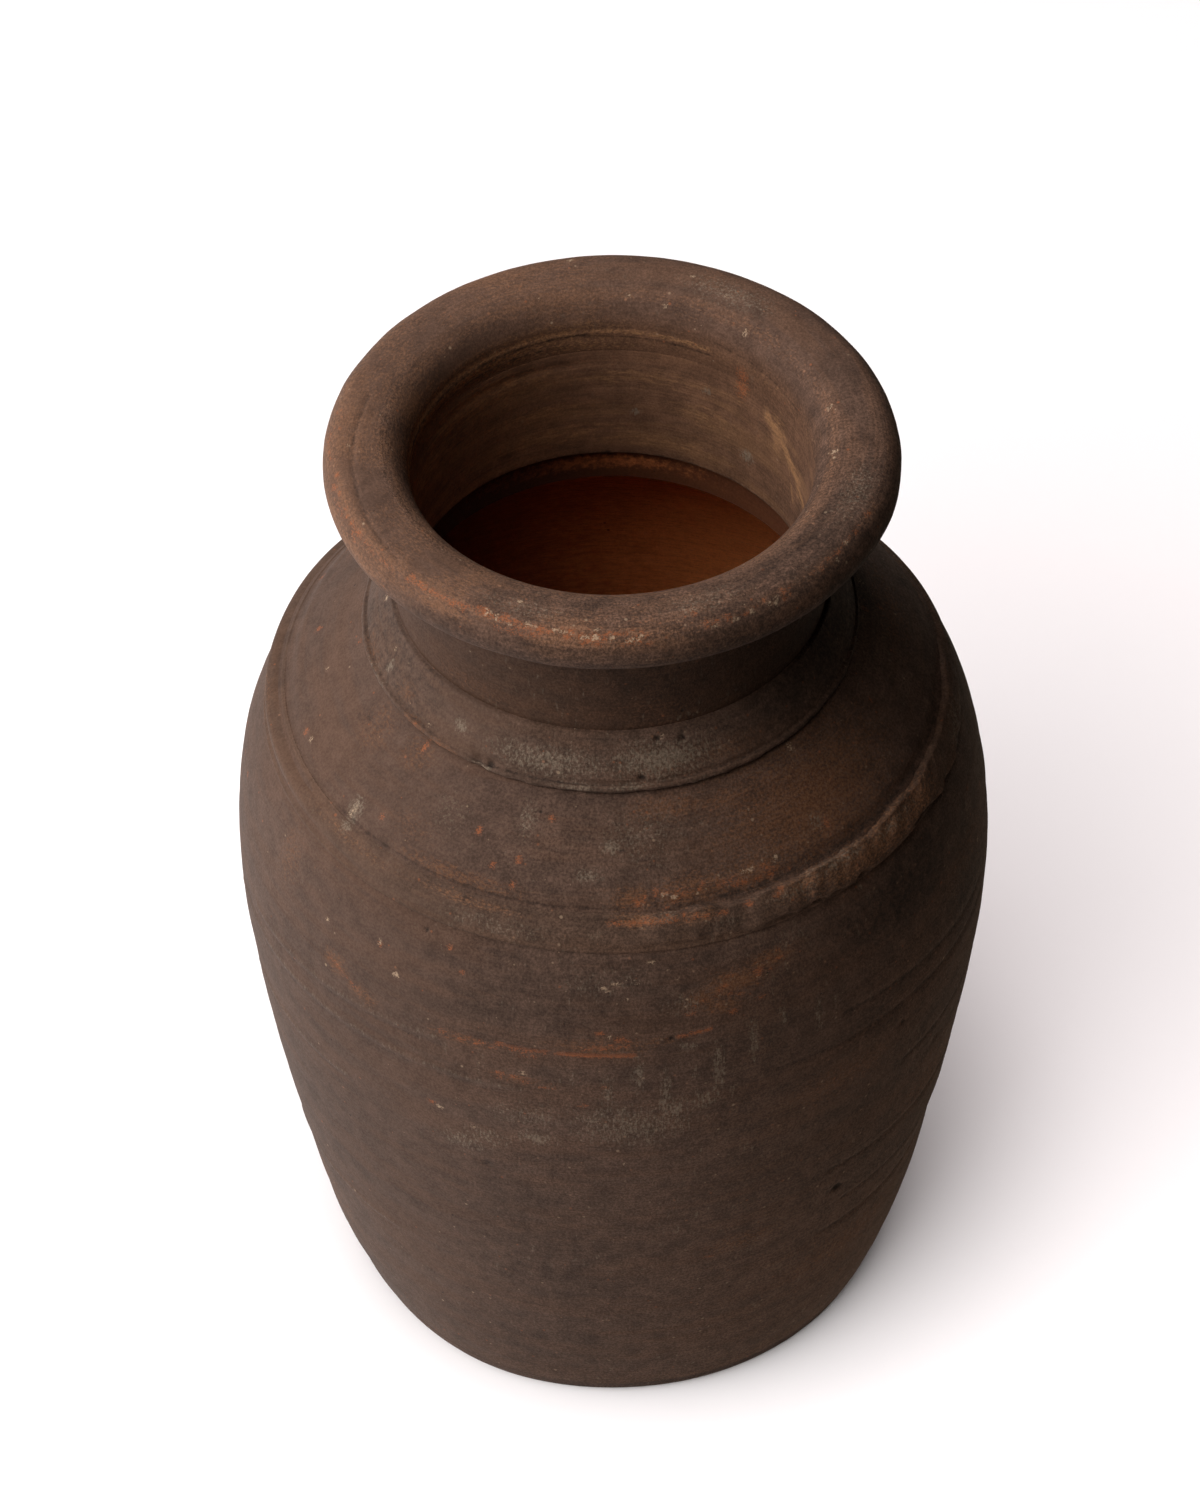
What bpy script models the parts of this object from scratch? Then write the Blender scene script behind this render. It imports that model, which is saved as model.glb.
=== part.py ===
"""Earthenware vase, built as a potter builds one: thrown sections luted one on another with slip.

Metres, +Z up. The vase stands on Z = 0 and Z is its axis. Every section is a turned profile, written
as (radius, height) pairs. The body's outer face is one smooth curve from the foot to the neck hole,
and places on it are given by their length along that curve.
"""

import math

import bpy
import numpy as np

# Body, measured on its outer face
FOOT_RADIUS = 0.0895
BELLY_RADIUS = 0.120
BELLY_RISE = 0.177  # foot to the widest point
EDGE_RISE = 0.066  # widest point to the shoulder edge
EDGE_INSET = 0.0137  # shoulder edge, inside the widest radius
SHOULDER_RISE = 0.0395  # shoulder edge to the rim of the neck hole
BODY_WALL = 0.008
BASE_THICKNESS = 0.015
FOOT_BEVEL = 0.0012

# Leans of the outer face from upright, in degrees, positive where it opens upwards
FOOT_LEAN = 30.0
UPRIGHT = 0.0
EDGE_LEAN = -32.0
HOLE_LEAN = -51.0

# How far each end of a curve keeps its lean, as shares of the curve's chord
FOOT_PULL = 0.14
BELLY_PULLS = (0.21, 0.55)  # below and above the widest point
EDGE_PULLS = (0.20, 0.18)  # below and above the shoulder edge
HOLE_PULL = 0.30
NECK_PULL = 0.30

# Joints between the sections
LUTE_GAP = 0.0003  # slip between two sections
SCARF = 0.006  # how much higher a wall joint is inside than outside
BELLY_JOINT_RISE = 0.026  # belly joint, along the wall above the widest point

# Strip over the shoulder joint
BAND_WIDTH = 0.013
BAND_THICKNESS = 0.0024
BAND_EDGE = 0.0008

# Neck and the collar at its foot
NECK_RADIUS = 0.0675
NECK_RISE = 0.052  # from the shoulder to the rim joint, on the outside
NECK_WALL = 0.006
NECK_OVERHANG = 0.003  # how far the neck's inner edge stands inside the shoulder's hole
NECK_FLARE = 0.0025  # how far its top opens past its foot
NECK_OUTER_LEANS = (-8.0, 16.0)  # at its foot and top
NECK_INNER_LEANS = (-4.0, 2.0)
COLLAR_HEIGHT = 0.0095
COLLAR_REACH = 0.0115
COLLAR_EDGE = 0.001
COLLAR_BEAD = 0.0016  # radius of the bead along its lower edge
BEAD_TURN = 140.0  # how far round the bead goes, in degrees

# Rolled rim
RIM_ROLL = 0.008  # radius of the rolled outer edge, half of the rim's height
RIM_OVERHANG = 0.017  # how far the rim stands out past the neck's top
LIP_ROUND = 0.012  # radius of the inner lip
MOUTH_WALL = 0.0087  # neck top to mouth
RIM_SCARF = 0.004  # how much lower the rim's seat is inside than outside

# Facets
STEPS = 48
WALL_POINTS = {"lower_wall": 11, "belly_wall": 5, "shoulder_wall": 7}
ARC_POINTS = 5
CURVE_SAMPLES = 200

COLLECTION = "earthenware_vase"

# Base colour (linear) and roughness of each section
SMOKED_CLAY = (0.085, 0.053, 0.039)
FINISHES = {
    "base_disc": ((0.070, 0.043, 0.032), 0.90),
    "lower_wall": ((0.078, 0.048, 0.036), 0.86),
    "belly_wall": (SMOKED_CLAY, 0.86),
    "shoulder_wall": ((0.095, 0.060, 0.045), 0.84),
    "shoulder_band": ((0.082, 0.047, 0.030), 0.88),
    "neck_collar": ((0.090, 0.057, 0.042), 0.85),
    "neck_wall": ((0.070, 0.040, 0.026), 0.87),
    "rim_ring": ((0.125, 0.074, 0.053), 0.82),
}


def heading(lean):
    """Unit step up a face that leans this many degrees from upright."""
    return np.array([math.sin(math.radians(lean)), math.cos(math.radians(lean))])


def swept_curve(start, end, leans, pulls, count):
    """Cubic curve up from start to end, with its lean and pull at each of them."""
    start, end = np.array(start), np.array(end)
    chord = np.linalg.norm(end - start)
    after = start + pulls[0] * chord * heading(leans[0])
    before = end - pulls[1] * chord * heading(leans[1])
    t = np.linspace(0.0, 1.0, count)[:, None]
    near = (1 - t) ** 3 * start + 3 * t * (1 - t) ** 2 * after
    return near + 3 * t**2 * (1 - t) * before + t**3 * end


def arc(centre, radius, from_degrees, to_degrees, count):
    """Points on an arc, with angles counted from straight out, upwards."""
    angles = np.radians(np.linspace(from_degrees, to_degrees, count))
    return [(centre[0] + radius * math.cos(a), centre[1] + radius * math.sin(a)) for a in angles]


class OuterFace:
    """The body's outer face from the foot to the neck hole, read by length along it."""

    def __init__(self, hole_radius):
        widest = (BELLY_RADIUS, BELLY_RISE)
        edge = (BELLY_RADIUS - EDGE_INSET, BELLY_RISE + EDGE_RISE)
        hole = (hole_radius, edge[1] + SHOULDER_RISE)
        foot = (FOOT_RADIUS, 0.0)
        below_widest, above_widest = BELLY_PULLS
        below_edge, above_edge = EDGE_PULLS
        runs = [
            swept_curve(foot, widest, (FOOT_LEAN, UPRIGHT), (FOOT_PULL, below_widest), CURVE_SAMPLES),
            swept_curve(widest, edge, (UPRIGHT, EDGE_LEAN), (above_widest, below_edge), CURVE_SAMPLES)[1:],
            swept_curve(edge, hole, (EDGE_LEAN, HOLE_LEAN), (above_edge, HOLE_PULL), CURVE_SAMPLES)[1:],
        ]
        self.points = np.concatenate(runs)
        steps = np.diff(self.points, axis=0)
        self.lengths = np.concatenate([[0.0], np.cumsum(np.hypot(steps[:, 0], steps[:, 1]))])
        slopes = np.gradient(self.points, self.lengths, axis=0)
        slopes /= np.linalg.norm(slopes, axis=1)[:, None]
        self.normals = np.stack([slopes[:, 1], -slopes[:, 0]], axis=1)
        self.widest = self.lengths[len(runs[0]) - 1]
        self.edge = self.lengths[len(runs[0]) + len(runs[1]) - 1]
        self.end = self.lengths[-1]

    def at(self, length, depth=0.0):
        """The point this far along the face, and this deep under it."""
        surface = [np.interp(length, self.lengths, self.points[:, i]) for i in (0, 1)]
        normal = [np.interp(length, self.lengths, self.normals[:, i]) for i in (0, 1)]
        return (surface[0] - depth * normal[0], surface[1] - depth * normal[1])

    def run(self, start, end, depth, count):
        return [self.at(length, depth) for length in np.linspace(start, end, count)]

    def length_at_height(self, height, depth):
        heights = self.points[:, 1] - depth * self.normals[:, 1]
        return float(np.interp(height, heights, self.lengths))

    def length_at_radius(self, radius, depth):
        """Read on the shoulder, where the radius falls all the way."""
        on_shoulder = self.lengths >= self.edge
        radii = (self.points[:, 0] - depth * self.normals[:, 0])[on_shoulder]
        return float(np.interp(-radius, -radii, self.lengths[on_shoulder]))


# Places that more than one section shares
mouth_radius = NECK_RADIUS + NECK_FLARE - MOUTH_WALL
neck_inner_radius = NECK_RADIUS - NECK_WALL
hole_radius = neck_inner_radius + NECK_OVERHANG
face = OuterFace(hole_radius)
half_joint = 0.5 * LUTE_GAP * math.hypot(BODY_WALL, SCARF) / BODY_WALL
base_joint = face.length_at_height(BASE_THICKNESS, BODY_WALL) - SCARF
belly_joint = face.widest + BELLY_JOINT_RISE
shoulder_joint = face.edge
neck_seat = face.length_at_radius(NECK_RADIUS, 0.0)
neck_foot = face.at(neck_seat)
rim_joint = neck_foot[1] + NECK_RISE
shoulder_slope = math.tan(math.radians(90.0 + HOLE_LEAN))
neck_lift = LUTE_GAP / math.cos(math.radians(90.0 + HOLE_LEAN))


def base_disc():
    """Solid disc with a bevelled edge that the wall stands on."""
    top = base_joint - half_joint
    inner_corner = face.at(top + SCARF, BODY_WALL)
    side = face.run(top, FOOT_BEVEL, 0.0, 3)
    return [(0.0, inner_corner[1]), inner_corner, *side, (FOOT_RADIUS - FOOT_BEVEL, 0.0), (0.0, 0.0)]


def wall_section(name, bottom, top):
    """Wall between two scarfed joints: down its outer face, then up its inner one."""
    count = WALL_POINTS[name]
    outer = face.run(top - half_joint, bottom + half_joint, 0.0, count)
    inner = face.run(bottom + half_joint + SCARF, top - half_joint + SCARF, BODY_WALL, count)
    return outer + inner


def lower_wall():
    return wall_section("lower_wall", base_joint, belly_joint)


def belly_wall():
    return wall_section("belly_wall", belly_joint, shoulder_joint)


def shoulder_wall():
    """From its scarfed joint to the hole under the neck, whose edge is upright."""
    count = WALL_POINTS["shoulder_wall"]
    bottom = shoulder_joint + half_joint
    inner_top = face.length_at_radius(hole_radius, BODY_WALL)
    outer = face.run(face.end, bottom, 0.0, count)
    return outer + face.run(bottom + SCARF, inner_top, BODY_WALL, count)


def shoulder_band():
    """Rounded strip that covers the shoulder joint, thin at both edges."""
    top = shoulder_joint + 0.5 * BAND_WIDTH
    bottom = shoulder_joint - 0.5 * BAND_WIDTH
    shares = np.linspace(0.0, 1.0, 2 * ARC_POINTS - 1)
    crown = BAND_EDGE + (BAND_THICKNESS - BAND_EDGE) * np.sqrt(np.sin(math.pi * shares).clip(0.0))
    outer = [face.at(top + (bottom - top) * t, -LUTE_GAP - h) for t, h in zip(shares, crown)]
    return outer + face.run(bottom, top, -LUTE_GAP, ARC_POINTS)


def neck_outer_face():
    """Hollow side of the neck, from its foot on the shoulder up to the rim."""
    foot = (NECK_RADIUS, neck_foot[1] + neck_lift)
    top = (NECK_RADIUS + NECK_FLARE, rim_joint)
    return swept_curve(foot, top, NECK_OUTER_LEANS, (NECK_PULL, NECK_PULL), 2 * ARC_POINTS - 1)


def neck_wall():
    """Stands on the shoulder's slope. Its top is bevelled, lower inside, to take the rim."""
    outer = [tuple(point) for point in neck_outer_face()[::-1]]
    foot = (neck_inner_radius, neck_foot[1] + neck_lift + NECK_WALL * shoulder_slope)
    top = (mouth_radius, rim_joint - RIM_SCARF)
    inner = swept_curve(foot, top, NECK_INNER_LEANS, (NECK_PULL, NECK_PULL), ARC_POINTS)
    return outer + [tuple(point) for point in inner]


def neck_collar():
    """Fillet of clay in the corner of neck and shoulder, with a bead along its lower edge."""
    side = neck_outer_face()
    top = neck_foot[1] + COLLAR_HEIGHT
    heights = np.linspace(top, neck_foot[1] + neck_lift + LUTE_GAP, 3)
    against_neck = [(np.interp(z, side[:, 1], side[:, 0]) + LUTE_GAP, z) for z in heights[::-1]]
    toe = neck_seat - COLLAR_REACH
    bead_centre = face.at(toe + COLLAR_BEAD, -LUTE_GAP - COLLAR_EDGE)
    down_slope = -HOLE_LEAN - 90.0
    bead = arc(bead_centre, COLLAR_BEAD, down_slope + BEAD_TURN, down_slope, ARC_POINTS)
    brow = (against_neck[-1][0] + COLLAR_EDGE, top)
    under = face.run(toe, neck_seat - LUTE_GAP, -LUTE_GAP, 3)
    return [brow, *bead, *under, *against_neck]


def rim_ring():
    """Rolled outer edge, level top and rounded lip, with a bevelled seat underneath for the neck."""
    seat_gap = LUTE_GAP * math.hypot(MOUTH_WALL, RIM_SCARF) / MOUTH_WALL
    underside = rim_joint + seat_gap
    top = underside + 2 * RIM_ROLL
    neck_top = NECK_RADIUS + NECK_FLARE
    roll_centre = (neck_top + RIM_OVERHANG - RIM_ROLL, underside + RIM_ROLL)
    lip_centre = (mouth_radius + LIP_ROUND, top - LIP_ROUND)
    roll = arc(roll_centre, RIM_ROLL, 90.0, -90.0, 2 * ARC_POINTS - 1)
    seat = [(neck_top, underside), (mouth_radius, underside - RIM_SCARF)]
    lip = arc(lip_centre, LIP_ROUND, 180.0, 90.0, ARC_POINTS)
    return roll + seat + lip


def clay(name):
    colour, roughness = FINISHES[name]
    material = bpy.data.materials.new(f"{name}_clay")
    material.use_nodes = True
    shader = material.node_tree.nodes["Principled BSDF"]
    shader.inputs["Base Color"].default_value = (*colour, 1.0)
    shader.inputs["Roughness"].default_value = roughness
    shader.inputs["Metallic"].default_value = 0.0
    return material


def turned(profile_of, closed=True):
    """An object turned from a profile that runs down its outer side. Only a profile off the axis closes."""
    name = profile_of.__name__
    points = profile_of()
    edges = [(i, i + 1) for i in range(len(points) - 1)]
    if closed:
        edges.append((len(points) - 1, 0))
    mesh = bpy.data.meshes.new(name)
    mesh.from_pydata([(radius, 0.0, height) for radius, height in points], edges, [])
    section = bpy.data.objects.new(name, mesh)
    section.data.materials.append(clay(name))
    turn = section.modifiers.new("turned", "SCREW")
    turn.axis = "Z"
    turn.angle = math.tau
    turn.steps = STEPS
    turn.render_steps = STEPS
    turn.use_merge_vertices = True
    turn.merge_threshold = 0.00001
    turn.use_smooth_shade = True
    bpy.data.collections[COLLECTION].objects.link(section)
    return section


def main():
    for old in list(bpy.data.objects):
        bpy.data.objects.remove(old, do_unlink=True)
    bpy.context.scene.collection.children.link(bpy.data.collections.new(COLLECTION))
    turned(base_disc, closed=False)
    for profile_of in (
        lower_wall,
        belly_wall,
        shoulder_wall,
        shoulder_band,
        neck_collar,
        neck_wall,
        rim_ring,
    ):
        turned(profile_of)


main()
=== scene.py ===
import math

import bmesh
import bpy
import numpy as np
from mathutils import Matrix, Vector


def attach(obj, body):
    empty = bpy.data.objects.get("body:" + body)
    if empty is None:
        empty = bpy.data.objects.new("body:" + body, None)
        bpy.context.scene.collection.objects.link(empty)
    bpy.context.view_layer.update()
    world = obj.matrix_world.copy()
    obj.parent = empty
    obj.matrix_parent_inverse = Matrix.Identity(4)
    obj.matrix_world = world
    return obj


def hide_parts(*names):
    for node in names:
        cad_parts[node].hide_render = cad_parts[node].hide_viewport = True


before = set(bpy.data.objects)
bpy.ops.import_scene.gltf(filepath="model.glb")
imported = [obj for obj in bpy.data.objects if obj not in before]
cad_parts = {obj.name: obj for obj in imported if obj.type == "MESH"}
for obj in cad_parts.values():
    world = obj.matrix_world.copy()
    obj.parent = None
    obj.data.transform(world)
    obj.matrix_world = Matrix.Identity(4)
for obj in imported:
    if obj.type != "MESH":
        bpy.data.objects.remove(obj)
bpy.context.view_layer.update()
scene = bpy.context.scene

# Sizes in millimetres, apart from WELD in metres, and angles in degrees. A bearing is 0 at the front
# of the vase, 90 at its right, -90 at its left and 180 at its back.
MM = 0.001
WELD = 0.000002
LUTE_FILL = 0.17
MITRE_LIMIT = 0.3
ON_AXIS = 0.01
INWARD_LOOK = -0.2
SHARP_TURN = 44.0
SOFT_TURN = 60.0
ARCS = 8
LONG_STRETCH = 2.5
# Of the marks, soot also carries painted shade in grooves, creases and unlit places, bloom also carries
# painted highlights on ridges, warm carries some painted light, and hollow carries painted shade on the
# unlit inside.
MARKS = ("bare", "fleck", "warm", "bloom_and_highlight", "soot_and_shade", "rubbed", "hollow")

# The rim sits a little askew: its far side is higher, and its centre is off the foot's.
TILT_FROM = 284.0
TILT_TO = 345.0
RIM_TILT = 0.006
RIM_SHIFT = (0.7, -0.4)

# The photograph's frame in pixels, the camera in metres and radians, and the heights in metres that
# the soft lights aim at and the even light hangs at.
PHOTO_HEIGHT = 1500
PHOTO_FOCAL = 5500.0
SENSOR = 36.0
CAMERA_PLACE = (-0.0040, -1.2212, 1.4617)
CAMERA_DIP = 0.796412
CAMERA_ROLL = -0.01361
LIGHT_AIM = 0.2
LAMP_HEIGHT = 2.4


# Noise and windows

def cell_value(cell, seed):
    """A fixed value from -1 to 1 for each whole-numbered cell of a lattice."""
    mixed = cell[:, 0] * 374761393 + cell[:, 1] * 668265263 + cell[:, 2] * 1440662683 + seed * 974634777
    mixed = mixed & 0xFFFFFFFF
    mixed = ((mixed ^ (mixed >> 13)) * 1274126177) & 0xFFFFFFFF
    mixed = mixed ^ (mixed >> 16)
    return (mixed & 0xFFFF) / 32767.5 - 1.0


def lumps(points, seed):
    """Smooth noise from -1 to 1, with lumps about one unit across."""
    low = np.floor(points).astype(np.int64)
    part = points - low
    part = part * part * (3.0 - 2.0 * part)
    total = np.zeros(len(points))
    for corner in np.ndindex(2, 2, 2):
        share = np.where(corner, part, 1.0 - part).prod(axis=1)
        total += share * cell_value(low + np.array(corner), seed)
    return total


def layered(points, seed, layers=3):
    """Noise with finer layers added, each half as large and half as strong."""
    total = np.zeros(len(points))
    for layer in range(layers):
        total += lumps(points * 2.0 ** layer, seed + layer) * 0.5 ** layer
    return total


def ease(value, start, end):
    """0 before start, 1 after end and a smooth rise between them."""
    part = np.clip((value - start) / (end - start), 0.0, 1.0)
    return part * part * (3.0 - 2.0 * part)


def bell(value, middle, wide):
    """1 at the middle, with a smooth fall to 0 on both sides."""
    return np.exp(-((value - middle) / wide) ** 2)


def gathered(items, name, kind=np.int32, width=1):
    """One property of all the items of a mesh, as a flat array."""
    values = np.empty(len(items) * width, kind)
    items.foreach_get(name, values)
    return values


# Turned pieces

def cad_section(node):
    """The node's half section, as points of (radius, height) in order, with the clay on their left."""
    bm = bmesh.new()
    bm.from_mesh(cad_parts[node].data)
    bmesh.ops.remove_doubles(bm, verts=bm.verts[:], dist=WELD)
    bmesh.ops.bisect_plane(bm, geom=bm.verts[:] + bm.edges[:] + bm.faces[:], dist=WELD,
                           plane_co=(0, 0, 0), plane_no=(0, 1, 0), clear_inner=True, clear_outer=True)
    left = [v for v in bm.verts if v.co.x < -WELD]
    bmesh.ops.delete(bm, geom=left, context="VERTS")
    ends = [v for v in bm.verts if len(v.link_edges) == 1]
    here = min(ends or bm.verts[:], key=lambda v: (round(v.co.z, 6), -v.co.x))
    order = [here]
    seen = {here}
    while here:
        ahead = [e.other_vert(here) for e in here.link_edges]
        here = next((v for v in ahead if v not in seen), None)
        if here:
            order.append(here)
            seen.add(here)
    points = np.array([(v.co.x, v.co.z) for v in order]) / MM
    bm.free()
    after = np.roll(points, -1, axis=0)
    if np.sum(points[:, 0] * after[:, 1] - after[:, 0] * points[:, 1]) < 0:
        points = points[::-1]
    return points, not ends


def headings(points, closed):
    """The unit step into and out of each point."""
    steps = np.roll(points, -1, axis=0) - points
    if not closed:
        steps[-1] = steps[-2]
    steps = steps / np.linalg.norm(steps, axis=1)[:, None]
    before = np.roll(steps, 1, axis=0)
    if not closed:
        before[0] = steps[0]
    return before, steps


def filled_out(points, closed):
    """The section grown by half a luting gap, so that the slip between two sections is shown filled."""
    before, steps = headings(points, closed)
    outward = np.stack([before[:, 1] + steps[:, 1], -before[:, 0] - steps[:, 0]], axis=1)
    outward = 2.0 * outward / np.maximum((outward ** 2).sum(axis=1), MITRE_LIMIT)[:, None]
    grown = points + LUTE_FILL * outward
    grown[:, 0] = np.where(points[:, 0] < ON_AXIS, 0.0, grown[:, 0])
    grown[:, 1] = np.maximum(grown[:, 1], 0.0)
    return grown


def smooth_run(points, spacing):
    """Even points along a smooth line through one run of section points."""
    lengths = np.linalg.norm(np.diff(points, axis=0), axis=1)
    at = np.concatenate(([0.0], np.cumsum(lengths)))
    order = 2 if len(points) > 2 else 1
    slope = np.gradient(points, at, axis=0, edge_order=order)
    count = max(2, round(at[-1] / spacing))
    want = np.linspace(0.0, at[-1], count + 1)
    i = np.clip(np.searchsorted(at, want, side="right") - 1, 0, len(at) - 2)
    span = (at[i + 1] - at[i])[:, None]
    t = (want - at[i])[:, None] / span
    start = points[i] * (1 + 2 * t) * (1 - t) ** 2 + slope[i] * span * t * (1 - t) ** 2
    end = points[i + 1] * t * t * (3 - 2 * t) + slope[i + 1] * span * t * t * (t - 1)
    return start + end


def held_straight(run):
    """The run with points near the ends of long straight stretches, so that only the ends round off."""
    lengths = np.linalg.norm(np.diff(run, axis=0), axis=1)
    points = [run[0]]
    for i, length in enumerate(lengths):
        step = (run[i + 1] - run[i]) / length
        if i > 0 and length > LONG_STRETCH * lengths[i - 1]:
            points.append(run[i] + step * lengths[i - 1])
        if i + 1 < len(lengths) and length > LONG_STRETCH * lengths[i + 1]:
            points.append(run[i + 1] - step * lengths[i + 1])
        points.append(run[i + 1])
    return np.array(points)


def fine_section(node, rows, sharp):
    """The node's section with close, even points, and which of them are corners."""
    points, closed = cad_section(node)
    points = filled_out(points, closed)
    before, steps = headings(points, closed)
    turn = np.degrees(np.arccos(np.clip((before * steps).sum(axis=1), -1.0, 1.0)))
    corners = [i for i in range(len(points)) if turn[i] > sharp]
    if closed:
        points = np.roll(points, -corners[0], axis=0)
        corners = [c - corners[0] for c in corners] + [len(points)]
        points = np.vstack([points, points[:1]])
    else:
        corners = sorted(set([0] + corners + [len(points) - 1]))
    fine = []
    is_corner = []
    for first, last in zip(corners, corners[1:]):
        run = points[first:last + 1]
        inward = run[-1, 1] - run[0, 1] < 0
        dense = smooth_run(held_straight(run), rows[1] if inward else rows[0])
        fine.append(dense[:-1])
        is_corner += [True] + [False] * (len(dense) - 2)
    if not closed:
        fine.append(points[-1:])
        is_corner.append(True)
    return np.vstack(fine), np.array(is_corner), closed


class Skin:
    """A clay piece turned from its node's section, with what its relief and marks need at each point."""

    def __init__(self, node, rows, steps, sharp=SHARP_TURN):
        self.node = node
        section, corner, closed = fine_section(node, rows, sharp)
        before, ahead = headings(section, closed)
        outward = np.stack([before[:, 1] + ahead[:, 1], -before[:, 0] - ahead[:, 0]], axis=1)
        outward /= np.linalg.norm(outward, axis=1)[:, None]
        lengths = np.linalg.norm(np.diff(section, axis=0), axis=1)
        run = np.concatenate(([0.0], np.cumsum(lengths)))
        self.mesh = self.turn(section, corner, closed, outward, run, steps)
        self.measure()

    def turn(self, section, corner, closed, outward, run, steps):
        bm = bmesh.new()
        layers = {}
        for name in ("run", "out_radius", "out_height", "corner"):
            layers[name] = bm.verts.layers.float.new(name)
        for i, (radius, height) in enumerate(section):
            vert = bm.verts.new((radius * MM, 0.0, height * MM))
            vert[layers["run"]] = run[i]
            vert[layers["out_radius"]] = outward[i, 0]
            vert[layers["out_height"]] = outward[i, 1]
            vert[layers["corner"]] = float(corner[i])
        bm.verts.ensure_lookup_table()
        for i in range(len(section) - (not closed)):
            bm.edges.new((bm.verts[i], bm.verts[(i + 1) % len(section)]))
        axis = {"cent": (0, 0, 0), "axis": (0, 0, 1), "dvec": (0, 0, 0)}
        arc = 2 * math.pi / ARCS
        bmesh.ops.spin(bm, geom=bm.verts[:] + bm.edges[:], angle=arc, steps=steps // ARCS, **axis)
        bmesh.ops.spin(bm, geom=bm.verts[:] + bm.edges[:] + bm.faces[:], angle=arc * (ARCS - 1),
                       steps=ARCS - 1, use_duplicate=True, **axis)
        bmesh.ops.remove_doubles(bm, verts=bm.verts[:], dist=WELD)
        bmesh.ops.recalc_face_normals(bm, faces=bm.faces[:])
        mesh = bpy.data.meshes.new(self.node + "_clay")
        bm.to_mesh(mesh)
        bm.free()
        return mesh

    def read(self, name):
        return gathered(self.mesh.attributes[name].data, "value", np.float32).astype(float)

    def measure(self):
        flat = gathered(self.mesh.vertices, "co", np.float32, 3)
        self.place = flat.reshape(-1, 3).astype(float) / MM
        self.radius = np.hypot(self.place[:, 0], self.place[:, 1])
        self.height = self.place[:, 2]
        self.bearing = np.degrees(np.arctan2(self.place[:, 0], -self.place[:, 1]))
        self.run = self.read("run")
        self.out_radius = self.read("out_radius")
        self.out_height = self.read("out_height")
        self.inside = ease(-self.out_radius, 0.1, 0.4)
        self.rise = np.zeros(len(self.place))
        self.outside = 1.0 - self.inside
        self.marks = {name: np.zeros(len(self.place)) for name in MARKS}

    def turned_from(self, bearing):
        """How far round from a bearing each point is, from -180 to 180."""
        return (self.bearing - bearing + 180.0) % 360.0 - 180.0

    def between(self, start, end, soft):
        """1 between two bearings and 0 outside, with soft ends."""
        middle = 0.5 * (start + end)
        half = 0.5 * (end - start)
        return 1.0 - ease(np.abs(self.turned_from(middle)), half - soft, half + soft)

    def levels(self, face):
        """What places a mark up or across one face of the piece, and where that face is."""
        if face == "top":
            return self.radius, ease(self.out_height, 0.2, 0.6)
        return self.height, self.inside if face == "inner" else self.outside

    def spot(self, bearing, level, wide, tall, face="outer"):
        """A soft round or long spot on a face, 1 at its middle."""
        at, there = self.levels(face)
        across = self.radius * np.radians(self.turned_from(bearing)) / wide
        return there * np.exp(-across ** 2 - ((at - level) / tall) ** 2)

    def trail(self, start, end, wide, face="outer"):
        """A soft line on a face from one (bearing, level) to another, 1 along its middle."""
        at, there = self.levels(face)
        turn = self.turned_from(start[0])
        share = np.clip(turn / (end[0] - start[0]), 0.0, 1.0)
        past = self.radius * np.radians(turn - share * (end[0] - start[0]))
        off = at - start[1] - share * (end[1] - start[1])
        return there * np.exp(-(past ** 2 + off ** 2) / wide ** 2)

    def add_mark(self, mark, values):
        self.marks[mark] = np.maximum(self.marks[mark], values)

    def rings(self, pitch, drift, seed, layers=2):
        """Noise in rings round the vase, as a wheel leaves it. Drift is how fast it changes round."""
        angle = np.radians(self.bearing)
        points = np.stack([np.sin(angle) * drift, np.cos(angle) * drift, self.run / pitch], axis=1)
        return layered(points, seed, layers)

    def speckle(self, size, seed, layers=3):
        return layered(self.place / size, seed, layers)

    def ring_line(self, height, wide):
        """A narrow line round the outer face at a height."""
        return bell(self.height, height, wide) * self.outside

    def finish(self, outer, inner=None):
        """Moves the points, writes the marks and makes the object."""
        angle = np.radians(self.bearing)
        wider = self.rise * self.out_radius
        moved = self.place.copy()
        moved[:, 0] += np.sin(angle) * wider
        moved[:, 1] -= np.cos(angle) * wider
        moved[:, 2] += self.rise * self.out_height
        share = ease(self.height, TILT_FROM, TILT_TO)
        moved[:, 2] += RIM_TILT * self.place[:, 1] * share
        moved[:, 0] += RIM_SHIFT[0] * share
        moved[:, 1] += RIM_SHIFT[1] * share
        moved[:, 2] = np.maximum(moved[:, 2], 0.0)
        mesh = self.mesh
        mesh.vertices.foreach_set("co", (moved * MM).astype(np.float32).ravel())
        for name, values in self.marks.items():
            layer = mesh.attributes.new(name, "FLOAT", "POINT")
            layer.data.foreach_set("value", np.clip(values, 0.0, 1.0).astype(np.float32))
        corner = self.read("corner") > 0.5
        ends = gathered(mesh.edges, "vertices", width=2)
        sharp = mesh.attributes.new("sharp_edge", "BOOLEAN", "EDGE")
        sharp.data.foreach_set("value", corner[ends.reshape(-1, 2)].all(axis=1))
        mesh.polygons.foreach_set("use_smooth", np.ones(len(mesh.polygons), bool))
        mesh.materials.append(outer)
        if inner:
            mesh.materials.append(inner)
            mesh.polygons.foreach_set("material_index", self.inner_faces())
        for name in ("out_radius", "out_height", "corner"):
            mesh.attributes.remove(mesh.attributes[name])
        mesh.update()
        piece = bpy.data.objects.new(mesh.name, mesh)
        scene.collection.objects.link(piece)
        return piece

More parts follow.
